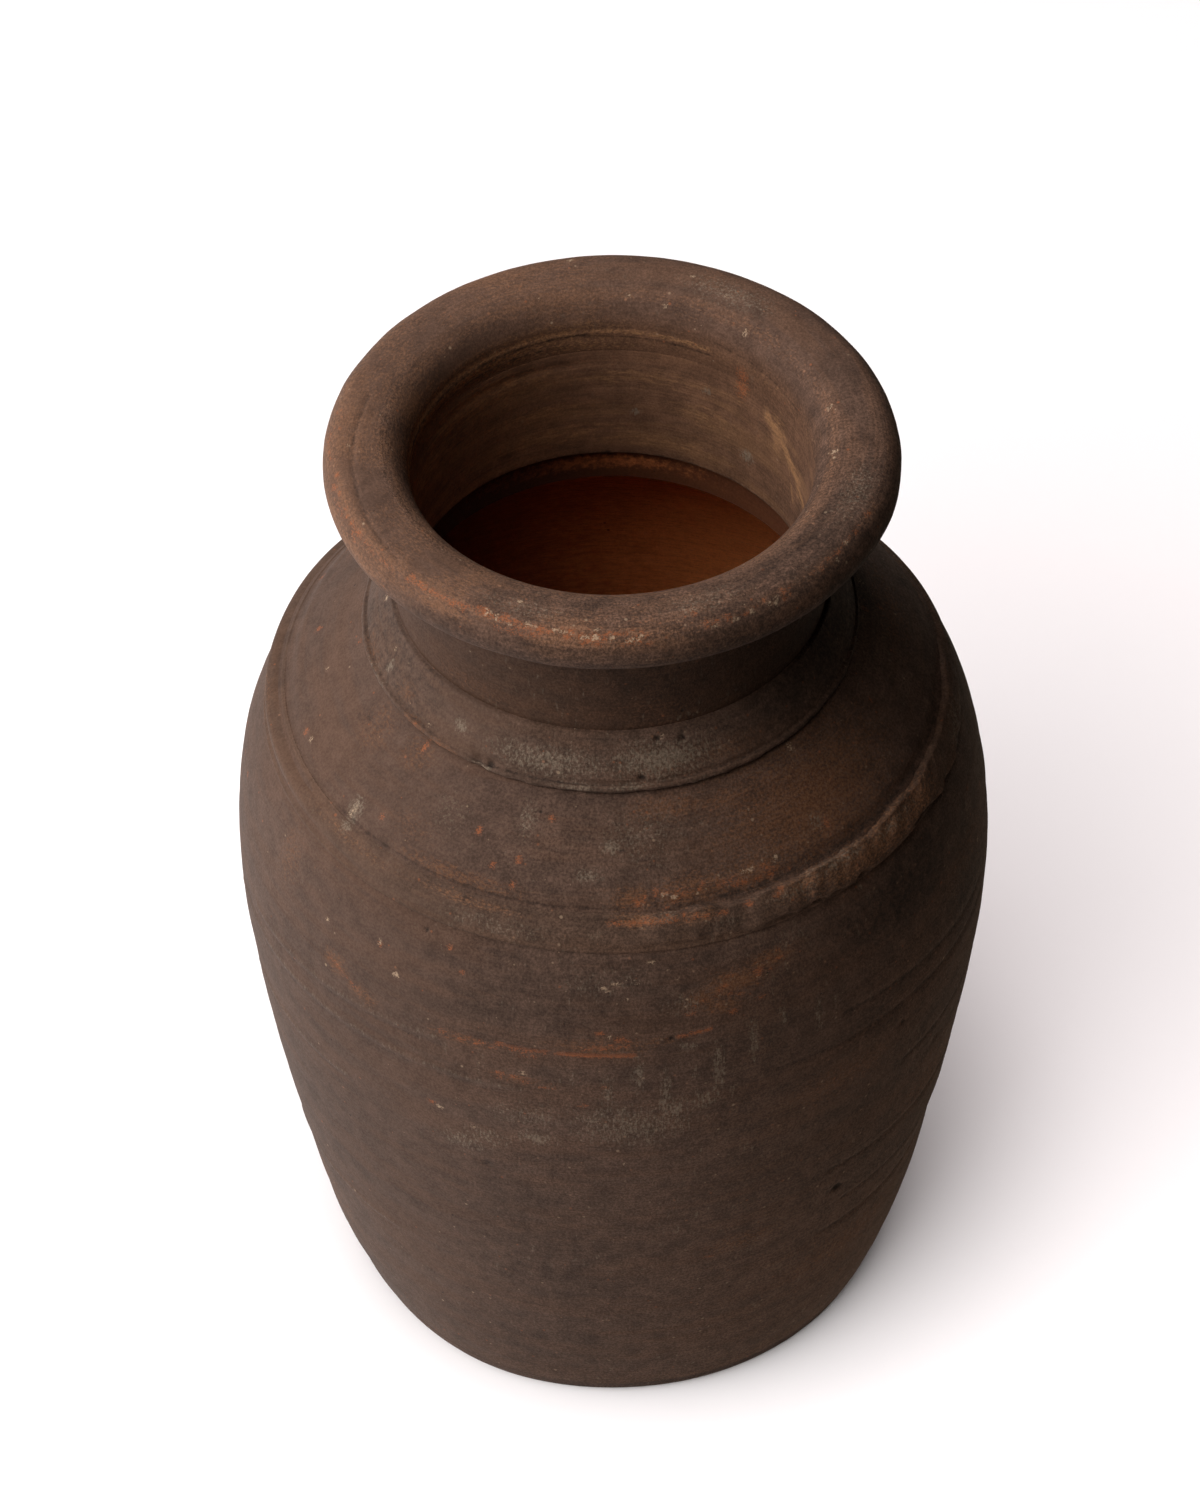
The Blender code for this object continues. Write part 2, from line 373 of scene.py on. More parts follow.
    def inner_faces(self):
        """1 for each face whose points all look to the inside of the vase."""
        first = gathered(self.mesh.polygons, "loop_start")
        count = gathered(self.mesh.polygons, "loop_total")
        corners = gathered(self.mesh.loops, "vertex_index")
        looks = np.add.reduceat(self.out_radius[corners], first) / count
        return (looks < INWARD_LOOK).astype(np.int32)


# Relief and marks of each piece

def dents(skin, places, face="outer"):
    for bearing, level, wide, tall, depth in places:
        skin.rise -= depth * skin.spot(bearing, level, wide, tall, face)


def stain(skin, mark, places, face="outer"):
    for bearing, level, wide, tall, strength in places:
        skin.add_mark(mark, strength * skin.spot(bearing, level, wide, tall, face))


def streak(skin, mark, lines, face="outer"):
    for start, end, wide, strength in lines:
        skin.add_mark(mark, strength * skin.trail(start, end, wide, face))


def scatter(skin, mark, count, seed, strength, sector=(-180, 180)):
    """Small spots strewn over the outer face between two bearings."""
    draw = np.random.default_rng(seed)
    in_sector = (skin.bearing > sector[0]) & (skin.bearing < sector[1])
    there = np.flatnonzero((skin.outside > 0.9) & in_sector)
    for i in draw.choice(there, count):
        size = draw.uniform(1.1, 1.9)
        spot = skin.spot(skin.bearing[i], skin.height[i], size, size, "outer")
        skin.add_mark(mark, strength * draw.uniform(0.8, 1.0) * spot)


def far_specks(skin, sectors, count, seed, pale):
    """Bare and pale specks strewn over the sides that the photo doesn't show."""
    for sector in sectors:
        scatter(skin, "bare", count, seed, 0.85, sector)
        scatter(skin, "fleck", 8, seed + 1, pale, sector)


def strewn(skin, mark, start, end, wide, count, seed, face="outer"):
    """Small spots strewn along a line on a face, from one (bearing, level) to another."""
    draw = np.random.default_rng(seed)
    for _ in range(count):
        share = draw.random()
        bearing = start[0] + share * (end[0] - start[0])
        level = start[1] + share * (end[1] - start[1]) + draw.normal(0.0, wide)
        tall = draw.uniform(0.6, 1.0)
        spot = skin.spot(bearing, level, tall * draw.uniform(1.1, 2.6), tall, face)
        skin.add_mark(mark, draw.uniform(0.7, 1.0) * spot)


def round_profile(skin, table):
    """A value read from a table of (bearing, value)."""
    bearings, values = zip(*table)
    return np.interp(skin.bearing, bearings, values)


def hand_wobble(skin):
    """The slight out-of-round of a hand-made vase, shared by all its sections."""
    skin.rise += 0.35 * lumps(skin.place / 95.0, 11) + 0.14 * lumps(skin.place / 34.0, 12)
    dents(skin, HOLLOWS)
    skin.add_mark("rubbed", skin.between(-150, -24, 28) * skin.outside)


def throwing(skin, coarse, fine, seed):
    """Rings that the fingers and the wheel leave on the outside and, deeper, on the inside."""
    rings = coarse * skin.rings(10.0, 1.1, seed) + fine * skin.rings(2.6, 2.1, seed + 5)
    skin.rise += skin.outside * rings
    skin.rise += skin.inside * 0.35 * skin.rings(9.0, 0.7, seed + 9)


def wheel_lines(skin, lines, wide, lower=0.0):
    """The strongest of some soft lines from one (bearing, height) to another, lowered by a distance."""
    trails = [skin.trail((a, low - lower), (b, high - lower), wide) for (a, low), (b, high) in lines]
    return np.max(trails, axis=0)


def shaded_inside(skin):
    """Painted shade: the inside is darkened on the side that the light doesn't reach."""
    skin.add_mark("hollow", skin.inside * skin.between(-172, -38, 34))


def terracotta_inside(skin):
    # Painted light: the inside is lighter on its right and back, where the light falls in through the
    # mouth.
    skin.add_mark("warm", skin.inside * skin.between(70, 190, 40))
    shaded_inside(skin)


# Hollows and pits are bearing, level, width round the vase, width up it, and depth. A level is a
# height, or a radius on the top of the rim.
HOLLOWS = [
    (97, 222, 30, 16, 0.45), (90, 200, 30, 14, 0.55), (76, 118, 30, 16, 0.2), (72, 74, 26, 14, 0.9),
    (-99, 219, 30, 12, -0.55), (-78, 149, 25, 14, 0.35), (-72, 70, 20, 12, 0.35),
    (-68, 28, 22, 12, -0.5), (-25, 5, 28, 25, -0.8), (-62, 10, 22, 25, 0.3), (75, 338, 16, 8, -0.6),
    (-118, 245, 36, 13, -1.2), (119, 247, 28, 11, -0.7),
]
BODY_PITS = [
    (38.5, 101.5, 1.9, 1.6, 1.2), (48, 171.5, 1.6, 1.5, 0.6), (-20.5, 142.5, 1.7, 1.7, 0.5),
    (8, 207.5, 1.2, 1.1, 0.6), (42.5, 228, 1.2, 1.2, 0.5), (-31, 234, 1.1, 1.1, 0.5),
    (60, 140, 1.5, 1.5, 0.6), (-70, 125, 1.6, 1.5, 0.5), (130, 160, 2, 1.8, 0.8),
    (-150, 95, 2, 1.8, 0.9), (165, 215, 1.6, 1.5, 0.6),
]
SHOULDER_PITS = [
    (-4, 255, 5, 2.4, 0.4), (1, 261.5, 1.2, 0.9, 0.4), (-9, 258.5, 1.2, 1, 0.3),
    (140, 262, 2, 1.5, 0.6),
]
COLLAR_PITS = [
    (11, 287.5, 1, 0.8, 0.8), (17.5, 286.5, 1.1, 0.9, 0.8), (6.5, 277.5, 1.6, 0.9, 0.8),
    (-32, 275.5, 2, 1.4, 1.6), (-29, 276, 1.6, 1.2, 1.3), (150, 283, 1.6, 1.4, 0.8),
]

# Wheel lines on the lower wall, from one (bearing, height) to another.
LEFT_RIDGES = [
    ((-80, 178), (-40, 182.5)), ((-40, 182.5), (-14, 184.5)), ((-70, 187), (-28, 197)),
    ((-75, 150), (-46, 154)), ((-75, 74), (-42, 78)),
]
RIDGE_WIDTH = 2.6
RIGHT_GROOVES = [
    ((36, 195), (75, 186)), ((24, 184), (75, 178)), ((36, 115), (80, 108)), ((40, 92), (80, 87)),
    ((36, 78), (80, 72)), ((50, 150), (95, 147)),
]

# Marks are bearing, level, width round the vase, width up it, and strength.
BODY_BARE = [
    (-26.5, 201, 2.2, 1.2, 0.75), (-23.5, 199.5, 2.2, 1.2, 0.95), (-20.5, 201, 1.8, 1.2, 0.85),
    (-2.5, 211, 2, 1.2, 0.95), (0.5, 208.5, 2.8, 1.6, 0.85), (-17.5, 189.5, 2.6, 1.2, 0.9),
    (-13.5, 187.5, 2.4, 1.1, 0.7), (-5, 180, 2.6, 1.3, 0.8), (-2, 188.5, 2.2, 1.2, 0.75),
    (-29, 165.5, 2.4, 1.3, 0.95), (17.5, 213.5, 2, 1.6, 0.9), (-26.5, 231.5, 1.4, 1.3, 0.95),
    (-24, 225, 1.4, 1.3, 0.9), (-38.5, 222, 1.5, 1.5, 0.75), (22, 216, 2.6, 1.3, 0.7),
    (15, 90.5, 3, 1.3, 0.75),
]
BODY_BARE_LINES = [
    ((-8, 202), (2.5, 202), 1.2, 1), ((-17, 202), (-11, 202), 1.2, 0.75),
    ((9, 208), (14, 209), 1.1, 0.9), ((-48, 205), (-42, 199.5), 1.5, 0.62),
    ((140, 204), (160, 206), 1.4, 0.75), ((-150, 196), (-132, 197), 1.4, 0.7),
]
BODY_WARM = [
    (18, 224, 9, 4.5, 1), (13, 220.5, 6, 3, 0.9), (24, 228, 8, 3, 0.9), (16, 217, 7, 3, 0.75),
    (-61, 224, 7, 12, 0.45), (-47, 204, 6, 5, 0.75), (-41, 199, 7, 3.5, 0.7), (-24, 200, 12, 2.5, 0.6),
    (-2, 205, 18, 4, 0.6), (-15, 188.5, 9, 2, 0.6), (4, 207, 14, 2, 0.55), (-70, 52, 28, 16, 0.5),
    (62, 120, 24, 14, 0.55), (35, 165, 24, 10, 0.45), (20, 95, 16, 5, 0.5), (45, 60, 30, 14, 0.5),
    (70, 205, 20, 14, 0.4), (118, 212, 16, 6, 0.7), (-140, 196, 26, 4, 0.65), (-165, 110, 22, 12, 0.55),
    (165, 150, 30, 20, 0.45), (-110, 80, 26, 14, 0.5), (100, 60, 26, 16, 0.5),
]
BODY_FLECKS = [
    (-21, 188.5, 1.3, 1.2, 0.8), (-14, 191.5, 1.7, 1.4, 0.95), (-27.5, 164.5, 1.9, 1.6, 1),
    (-22, 160, 1.5, 1.4, 0.85), (-24.5, 172.5, 1.3, 1.2, 0.75), (1, 151, 1.3, 1.2, 0.85),
    (-38.5, 223, 1.3, 1.8, 0.9), (-35, 214.5, 1.7, 1.7, 1), (-49.5, 217.5, 1.4, 1.6, 0.85),
    (-1, 209.5, 1.4, 1.2, 0.85),
]
BODY_BLOOM = [
    (15, 190, 1.6, 13, 0.9), (20.5, 200, 1.5, 9, 0.9), (25.5, 206, 1.5, 5, 0.7),
    (31.5, 200, 1.5, 8, 0.75), (34.5, 202, 1.4, 3, 0.6), (17.3, 182, 1.4, 6, 0.55),
    (27.5, 196, 1.3, 6, 0.45), (3, 194, 1.7, 9, 0.85), (7, 184, 1.6, 12, 0.8),
    (-1.5, 185, 2.2, 8, 0.75), (-3, 174, 8, 4, 0.6), (8.5, 177, 4, 6, 0.7), (11.5, 192, 1.4, 4, 0.55),
    (-6.5, 192, 1.5, 5, 0.5), (12.5, 179, 4, 5, 0.7), (10.5, 203.5, 3, 2, 0.75), (-24, 151, 9, 5, 0.6),
    (-12, 161.5, 7, 3, 0.8), (-20, 157, 8, 5, 0.55), (10, 220, 9, 5, 0.35), (-2, 229, 18, 7, 0.3),
    (2, 170, 20, 10, 0.62), (-14, 172, 12, 6, 0.5), (28, 232, 10, 5, 0.3), (160, 188, 22, 12, 0.6),
    (-120, 150, 18, 14, 0.55), (110, 130, 20, 14, 0.45),
]
# The first six darken the pits, the next three are dark smudges, and the last three are painted shade on
# the right front of the belly, where the light falls off.
BODY_SOOT_AND_SHADE = [
    (38.5, 101.5, 2.4, 2, 1), (-20.5, 142.5, 2, 2, 0.8), (8, 207.5, 1.2, 1.1, 0.9),
    (48, 171.5, 1.8, 1.6, 0.8), (42.5, 228, 1.2, 1.1, 0.7), (-31, 234, 1, 1, 0.7),
    (16, 170, 20, 12, 0.35), (0, 120, 26, 14, 0.25), (-40, 210, 18, 8, 0.2), (50, 223, 36, 16, 0.62),
    (70, 196, 28, 22, 0.5), (42, 182, 22, 16, 0.45),
]
SHOULDER_BARE = [
    (-46.5, 271, 1.3, 2, 0.9), (-27, 261, 1.4, 1.3, 1), (-13, 267, 1.3, 1.2, 0.9),
    (-18, 257.5, 1.4, 1.3, 1), (-22.5, 255, 1.3, 1.2, 0.85), (-18, 252, 1.4, 1.3, 0.95),
    (-46.5, 254, 1.4, 1.3, 0.85), (-73.5, 252, 1.5, 1.5, 0.85), (4, 250, 2.4, 1.8, 0.8),
    (7, 252.5, 1.4, 1.2, 0.8), (12, 251, 4, 1.4, 0.66), (20, 251.5, 5, 1.6, 0.64),
    (28, 251, 4, 1.4, 0.62),
]
SHOULDER_WARM = [
    (3, 251, 7, 3, 0.85), (14, 251.5, 14, 4, 0.8), (25, 252, 12, 5, 0.75), (34, 253, 10, 5, 0.6),
    (12, 269, 14, 3, 0.6), (24, 268, 10, 2.5, 0.6), (34, 258, 14, 7, 0.62), (-60, 267, 8, 7, 0.4),
    (-47, 269, 7, 5, 0.4), (-40, 256, 14, 6, 0.25), (-28, 250.5, 22, 2, 0.6), (42, 260, 34, 13, 0.9),
    (160, 259, 24, 6, 0.55), (-130, 255, 22, 6, 0.5), (100, 262, 24, 6, 0.5),
]
SHOULDER_FLECKS = [
    (-71, 252.5, 1.4, 1.3, 0.85), (28, 264.5, 1.3, 1.2, 0.7), (-52.5, 251.4, 2.2, 2.4, 0.74),
    (-52.8, 249.4, 2, 1.3, 0.74),
]
SHOULDER_BLOOM = [
    (-52.5, 251.5, 2.6, 2.8, 1), (-52, 249.3, 2.4, 1.6, 1), (-0.5, 262, 3.2, 1.6, 0.95),
    (-5, 256, 5, 1.6, 0.75), (-18, 266, 3, 4, 0.65), (40, 256, 2.6, 2, 0.6), (-34, 262, 10, 6, 0.25),
    (5, 264, 16, 7, 0.35), (140, 258, 12, 6, 0.5),
]
SHOULDER_SOOT = [(-63, 266, 11, 5, 0.4), (-3, 254.5, 4.5, 2.2, 0.4), (1.5, 261.3, 1.1, 0.8, 0.7)]

# How far the band stands out of the body, along its lower and its upper half.
BAND_LOWER = [
    (-180, 1.3), (-150, 1.6), (-126, 1.9), (-111, 1.8), (-104, 2), (-97, 2.3), (-85, 2.2), (-70, 1.4),
    (-58, 0.8), (-40, 0.7), (0, 0.8), (15, 1.5), (25, 2.2), (40, 2.4), (70, 2.2), (100, 1.25),
    (109, 0.95), (119, 0.8), (150, 1.2), (180, 1.3),
]
BAND_UPPER = [
    (-180, 1), (-126, 1.1), (-111, 1), (-97, 1.5), (-85, 1.3), (-70, 1), (-58, 0.6), (-40, 0.45),
    (4.2, 0.5), (5.2, 1.7), (12, 2.1), (40, 2.7), (75, 2.3), (100, 1.4), (109, 0.95), (119, 0.8),
    (150, 1), (180, 1),
]
BAND_FOOT = (110.15, 237.65)
BAND_TOP = 248.6
BAND_HEAD = (102.8, BAND_TOP)
BEAD_RELIEF = [
    (-180, 0.5), (-120, 0.4), (-85, 0.65), (-50, 0.75), (35, 0.7), (55, 0.35), (90, 0.3), (180, 0.5),
]
BEAD_WIDTH = 4.6

# Heights on the inside: where the painted shade of the ledge starts, the lit strip of it that gets less
# shade, and the foot of the neck. LEFT_BACK is two bearings and how soft the ends between them are.
LEDGE = (266.0, 270.0)
LEDGE_STRIP = ((274.5, 277.5), (280.5, 282.0))
NECK_FOOT = 284.5
LEFT_BACK = (-175, -60, 20)

# Where the rim is worn: its outer edge and its lip as radii, and its side as a height.
RIM_EDGE = 83.4
RIM_LIP = 66.5
RIM_SIDE = 341.5


def base_disc():
    skin = Skin("base_disc", (2.5, 2.5), 240)
    hand_wobble(skin)
    skin.rise *= ease(skin.out_radius, 0.2, 0.6)
    return skin


def body_marks(skin, seed):
    dents(skin, BODY_PITS)
    stain(skin, "bare", BODY_BARE)
    streak(skin, "bare", BODY_BARE_LINES)
    stain(skin, "warm", BODY_WARM)
    stain(skin, "fleck", BODY_FLECKS)
    stain(skin, "bloom_and_highlight", BODY_BLOOM)
    stain(skin, "soot_and_shade", BODY_SOOT_AND_SHADE)
    far_specks(skin, ((-180, -75), (55, 180)), 14, seed, 0.85)


def lower_wall():
    skin = Skin("lower_wall", (1.1, 6.0), 440)
    hand_wobble(skin)
    throwing(skin, 0.12, 0.05, 21)
    ridge = wheel_lines(skin, LEFT_RIDGES, 1.5)
    below = wheel_lines(skin, LEFT_RIDGES, 1.4, RIDGE_WIDTH)
    skin.rise += 0.42 * ridge - 0.2 * below
    # Painted highlight along the ridges on the left, and painted shade just under them.
    skin.add_mark("bloom_and_highlight", 0.34 * ridge)
    skin.add_mark("soot_and_shade", 0.36 * below)
    groove = wheel_lines(skin, RIGHT_GROOVES, 1.3)
    skin.rise -= 0.35 * groove
    # Painted shade in the grooves on the right.
    skin.add_mark("soot_and_shade", 0.55 * groove)
    body_marks(skin, 23)
    strewn(skin, "bare", (-27, 200.5), (-6, 201.5), 1.0, 24, 27)
    strewn(skin, "bare", (-19, 190), (-8, 188), 1.2, 10, 28)
    terracotta_inside(skin)
    return skin


def belly_wall():
    skin = Skin("belly_wall", (0.6, 3.0), 640)
    hand_wobble(skin)
    throwing(skin, 0.10, 0.04, 31)
    below_band = skin.ring_line(BAND_FOOT[1] - 0.3, 0.9) * skin.between(-62, 80, 14)
    skin.rise -= 0.3 * below_band
    # Painted shadow in the shallow groove just under the band.
    skin.add_mark("soot_and_shade", 0.3 * below_band)
    body_marks(skin, 33)
    strewn(skin, "bare", (11, 219), (27, 228), 2.2, 22, 35)
    strewn(skin, "fleck", (-8, 230), (26, 224), 6.0, 14, 36)
    strewn(skin, "bare", (-5, 206), (3, 206.5), 1.4, 14, 37)
    terracotta_inside(skin)
    return skin


def shoulder_wall():
    skin = Skin("shoulder_wall", (0.6, 2.0), 640)
    hand_wobble(skin)
    throwing(skin, 0.10, 0.03, 41)
    scored = skin.ring_line(BAND_TOP + 0.3, 0.7) * skin.between(-58, 5, 6)
    hollow = skin.between(-150, -52, 14)
    skin.rise -= 0.4 * scored + 0.6 * hollow * skin.ring_line(BAND_TOP + 0.8, 2.4)
    skin.rise += 0.14 * hollow * skin.ring_line(BAND_TOP + 4.4, 1.6)
    skin.rise -= 0.5 * skin.ring_line(BAND_TOP + 0.5, 1.3) * skin.between(5, 90, 7)
    # Painted shade in the scored line above the band at the front.
    skin.add_mark("soot_and_shade", 0.5 * scored)
    # A painted shadow line along the band's torn upper edge on the right.
    wavy_top = BAND_TOP - 0.1 + 0.3 * skin.speckle(5.0, 48, 2)
    torn_edge = skin.ring_line(wavy_top, 1.0) * skin.between(6, 82, 7)
    skin.add_mark("soot_and_shade", 0.6 * torn_edge)
    dents(skin, SHOULDER_PITS)
    stain(skin, "bare", SHOULDER_BARE)
    stain(skin, "warm", SHOULDER_WARM)
    stain(skin, "fleck", SHOULDER_FLECKS)
    stain(skin, "bloom_and_highlight", SHOULDER_BLOOM)
    stain(skin, "soot_and_shade", SHOULDER_SOOT)
    strewn(skin, "bare", (4, 250.5), (34, 251.5), 1.2, 26, 45)
    strewn(skin, "fleck", (8, 250.5), (32, 252), 1.2, 8, 46)
    far_specks(skin, ((-180, -80), (40, 180)), 16, 43, 0.8)
    # Painted shade on the inner ledge under the neck, less on a lit strip of it at the back.
    ledge = skin.inside * ease(skin.height, *LEDGE)
    middle = ease(skin.height, *LEDGE_STRIP[0]) * (1.0 - ease(skin.height, *LEDGE_STRIP[1]))
    lit = middle * skin.between(150, 228, 24) * (0.85 + 0.3 * skin.speckle(14.0, 47))
    skin.add_mark("soot_and_shade", ledge * (1.0 - 0.55 * lit))
    shaded_inside(skin)
    return skin


def shoulder_band():
    skin = Skin("shoulder_band", (0.5, 1.0), 640, SOFT_TURN)
    hand_wobble(skin)
    across = (BAND_HEAD[0] - BAND_FOOT[0], BAND_HEAD[1] - BAND_FOOT[1])
    share = (skin.radius - BAND_FOOT[0]) * across[0] + (skin.height - BAND_FOOT[1]) * across[1]
    share /= across[0] ** 2 + across[1] ** 2
    face = skin.outside > 0.5
    lean = np.arctan2(skin.out_height, skin.out_radius)
    low = lean[face & (np.abs(share - 0.2) < 0.06)].mean()
    high = lean[face & (np.abs(share - 0.8) < 0.06)].mean()
    lean = low + (high - low) * (share - 0.2) / 0.6
    skin.out_radius = np.cos(lean)
    skin.out_height = np.sin(lean)
    thick = 1.1 + 1.6 * ease(share, 0.0, 0.2) * ease(1.0 - share, 0.0, 0.22)
    torn = skin.between(4, 100, 8)
    flush = skin.between(-62, 4, 5)
    arc = skin.radius * np.radians(skin.bearing)
    pressed = layered(np.stack([arc / 5.0, skin.run / 12.0, np.zeros(len(arc))], axis=1), 55, 3)
    ragged = torn * (0.06 * skin.speckle(11.0, 53) + 0.04 * skin.speckle(4.0, 54, 2))
    upper_edge = ease(1.0 - share + ragged, 0.02, 0.5 - 0.34 * torn - 0.3 * flush)
    lower_edge = ease(share + ragged, 0.02, 0.48 - 0.28 * skin.between(-48, 85, 12))
    lower = round_profile(skin, BAND_LOWER)
    upper = round_profile(skin, BAND_UPPER)
    proud = lower + (upper - lower) * ease(share, 0.3, 0.75)
    proud += torn * (0.4 * skin.speckle(12.0, 51) + 0.4 * pressed + 0.1 * skin.speckle(2.4, 57, 2))
    buried = 0.25 + ease(share, 0.6, 1.0) * (0.45 * skin.between(-150, -50, 15) + 0.7 * torn)
    height = (proud + buried) * upper_edge * lower_edge - buried
    skin.rise += np.where(face, height - thick, -1.2)
    stain(skin, "bare", [(5, 248, 1.8, 1.2, 0.7), (12, 247, 3, 1.1, 0.6)])
    streak(skin, "bare", [((-1, 247.5), (10, 247.3), 1.0, 0.7)])
    strewn(skin, "bare", (2, 248), (30, 246.5), 0.8, 14, 56)
    stain(skin, "warm", [
        (4, 247.8, 9, 1.8, 0.8), (14, 247, 8, 2, 0.6), (33, 246.5, 12, 3, 0.7), (60, 245, 12, 5, 0.75),
        (-50, 246.5, 26, 1.8, 0.35), (-25, 247.5, 20, 1.4, 0.5), (48, 245, 32, 5, 0.85),
        (-90, 243, 14, 4, 0.3), (120, 244, 24, 4, 0.5), (-150, 244, 20, 4, 0.5),
    ])
    stain(skin, "bloom_and_highlight", [
        (-52, 248.3, 2.2, 1.6, 0.9), (8.5, 248, 4, 1.4, 0.6), (40, 247.5, 14, 2, 0.55),
        (30, 246, 10, 2, 0.5), (18, 244.5, 6, 2.5, 0.4), (52, 246, 12, 2, 0.5), (-20, 243, 24, 4, 0.35),
        (80, 244, 10, 4, 0.5),
    ])
    # Painted shadow along the band's upper edge, at the front and on the torn right.
    line = bell(1.0 - share + ragged, 0.04, 0.04) * face
    skin.add_mark("soot_and_shade", line * (0.3 * flush + 0.3 * torn))
    return skin


def neck_collar():
    skin = Skin("neck_collar", (0.45, 1.0), 640, SOFT_TURN)
    hand_wobble(skin)
    front = skin.between(-45, 48, 14)
    wander = BEAD_WIDTH + 0.5 * skin.rings(40.0, 2.0, 60)
    bead = 1.0 - ease(skin.run, wander - 1.6, wander)
    skin.rise -= skin.outside * bead * (1.0 - round_profile(skin, BEAD_RELIEF)) * 1.3
    skin.rise -= skin.outside * (1.0 - 0.5 * front) * (1.0 - ease(skin.run, 0.0, 2.6))
    skin.rise += skin.inside * 0.8
    skin.rise += skin.outside * bead * (skin.speckle(6.0, 61) * 0.25 + skin.speckle(2.0, 62, 2) * 0.12)
    groove = bell(skin.run, wander, 0.8) * skin.outside
    left = skin.between(-100, -45, 12)
    skin.rise -= groove * (0.2 + 0.35 * left + front * (0.5 + 0.3 * skin.rings(30.0, 2.5, 63)))
    smear = 0.07 * skin.rings(2.2, 2.0, 64) + 0.12 * skin.speckle(9.0, 65)
    skin.rise += skin.outside * (1.0 - bead) * smear
    dents(skin, COLLAR_PITS)
    stain(skin, "soot_and_shade", [
        (11, 287.5, 1.1, 0.8, 0.9), (17.5, 286.5, 1.2, 0.9, 0.9), (6.5, 277.5, 1.7, 0.9, 0.9),
        (-32, 275.5, 1.8, 1.2, 0.8), (-29, 276, 1.5, 1, 0.8),
    ])
    stain(skin, "bloom_and_highlight", [
        (-39, 282, 3, 2, 0.9), (-67, 280.5, 1.8, 2.4, 0.8), (-30.5, 274.4, 4.5, 1, 0.95),
        (12, 282, 16, 5, 0.95), (4, 275.8, 8, 1, 0.8), (-8, 275.6, 8, 1, 0.75), (-15, 281, 18, 4, 0.8),
        (20, 274.5, 8, 1.2, 0.6), (-70, 275, 10, 2, 0.5),
    ])
    stain(skin, "warm", [
        (-52, 275, 6, 1.6, 0.85), (-42, 274.8, 7, 1.4, 0.7), (-58, 279.6, 5, 3, 0.6),
        (-75, 277, 10, 4, 0.5), (30, 280, 12, 4, 0.4), (140, 280, 20, 5, 0.5),
    ])
    stain(skin, "bare", [(-51, 275.2, 1.4, 1.2, 0.8), (-43, 274.6, 1.4, 1.0, 0.7)])
    scatter(skin, "fleck", 8, 67, 0.8)
    # Painted shade on the collar's left and right sides.
    sides = 0.38 * skin.between(-95, -44, 10) + 0.42 * skin.between(36, 120, 12)
    skin.add_mark("soot_and_shade", skin.outside * sides)
    # Painted shade in the groove above the bead, most at the front, then at the left.
    smoke = 0.1 + 0.35 * left + front * (0.45 + 0.25 * skin.rings(30.0, 2.5, 66))
    skin.add_mark("soot_and_shade", groove * smoke)
    return skin


def neck_wall():
    skin = Skin("neck_wall", (0.7, 0.8), 560)
    hand_wobble(skin)
    skin.rise += skin.outside * (0.07 * skin.rings(4.0, 1.4, 71) + 0.03 * skin.rings(1.6, 2.2, 72))
    upper = ease(skin.height, 312.0, 326.0) * skin.between(*LEFT_BACK)
    skin.rise += skin.inside * (0.15 * skin.rings(7.0, 0.9, 73) + 0.3 * upper * skin.rings(3.0, 0.6, 74))
    skin.rise += skin.inside * 0.12 * skin.speckle(16.0, 76)
    stain(skin, "bloom_and_highlight", [
        (135, 299.5, 2.8, 2.8, 1), (150, 318, 1.6, 1.4, 0.9), (172, 303, 1.4, 1.6, 0.8),
    ], "inner")
    stain(skin, "bare", [(138, 326, 3.6, 6, 0.82)], "inner")
    streak(skin, "warm", [
        ((127, 322), (104, 306), 2.6, 1), ((118, 320), (112, 300), 1.8, 0.8),
    ], "inner")
    stain(skin, "warm", [
        (138, 325, 3.5, 9, 0.4), (122, 318, 5, 9, 0.75), (108, 309, 5, 6, 0.65),
        (-140, 322, 30, 8, 0.65), (-110, 315, 24, 10, 0.55), (170, 318, 34, 6, 0.35),
        (165, 292, 30, 4, 0.5), (-165, 295, 26, 6, 0.5), (95, 296, 12, 8, 0.5), (150, 308, 16, 5, 0.45),
        (-160, 306, 24, 3, 0.55),
    ], "inner")
    stain(skin, "warm", [(-40, 295, 20, 5, 0.35), (10, 298, 24, 6, 0.3), (120, 305, 26, 10, 0.4)])
    stain(skin, "bloom_and_highlight", [(-100, 290, 4, 2, 0.5), (20, 292, 10, 2, 0.3)])
    # Painted shade on the inside at the foot of the neck, over the ledge.
    foot = NECK_FOOT + 1.2 * skin.rings(60.0, 3.0, 75)
    skin.add_mark("soot_and_shade", skin.inside * (1.0 - ease(skin.height, foot - 1.0, foot + 3.0)))
    return skin


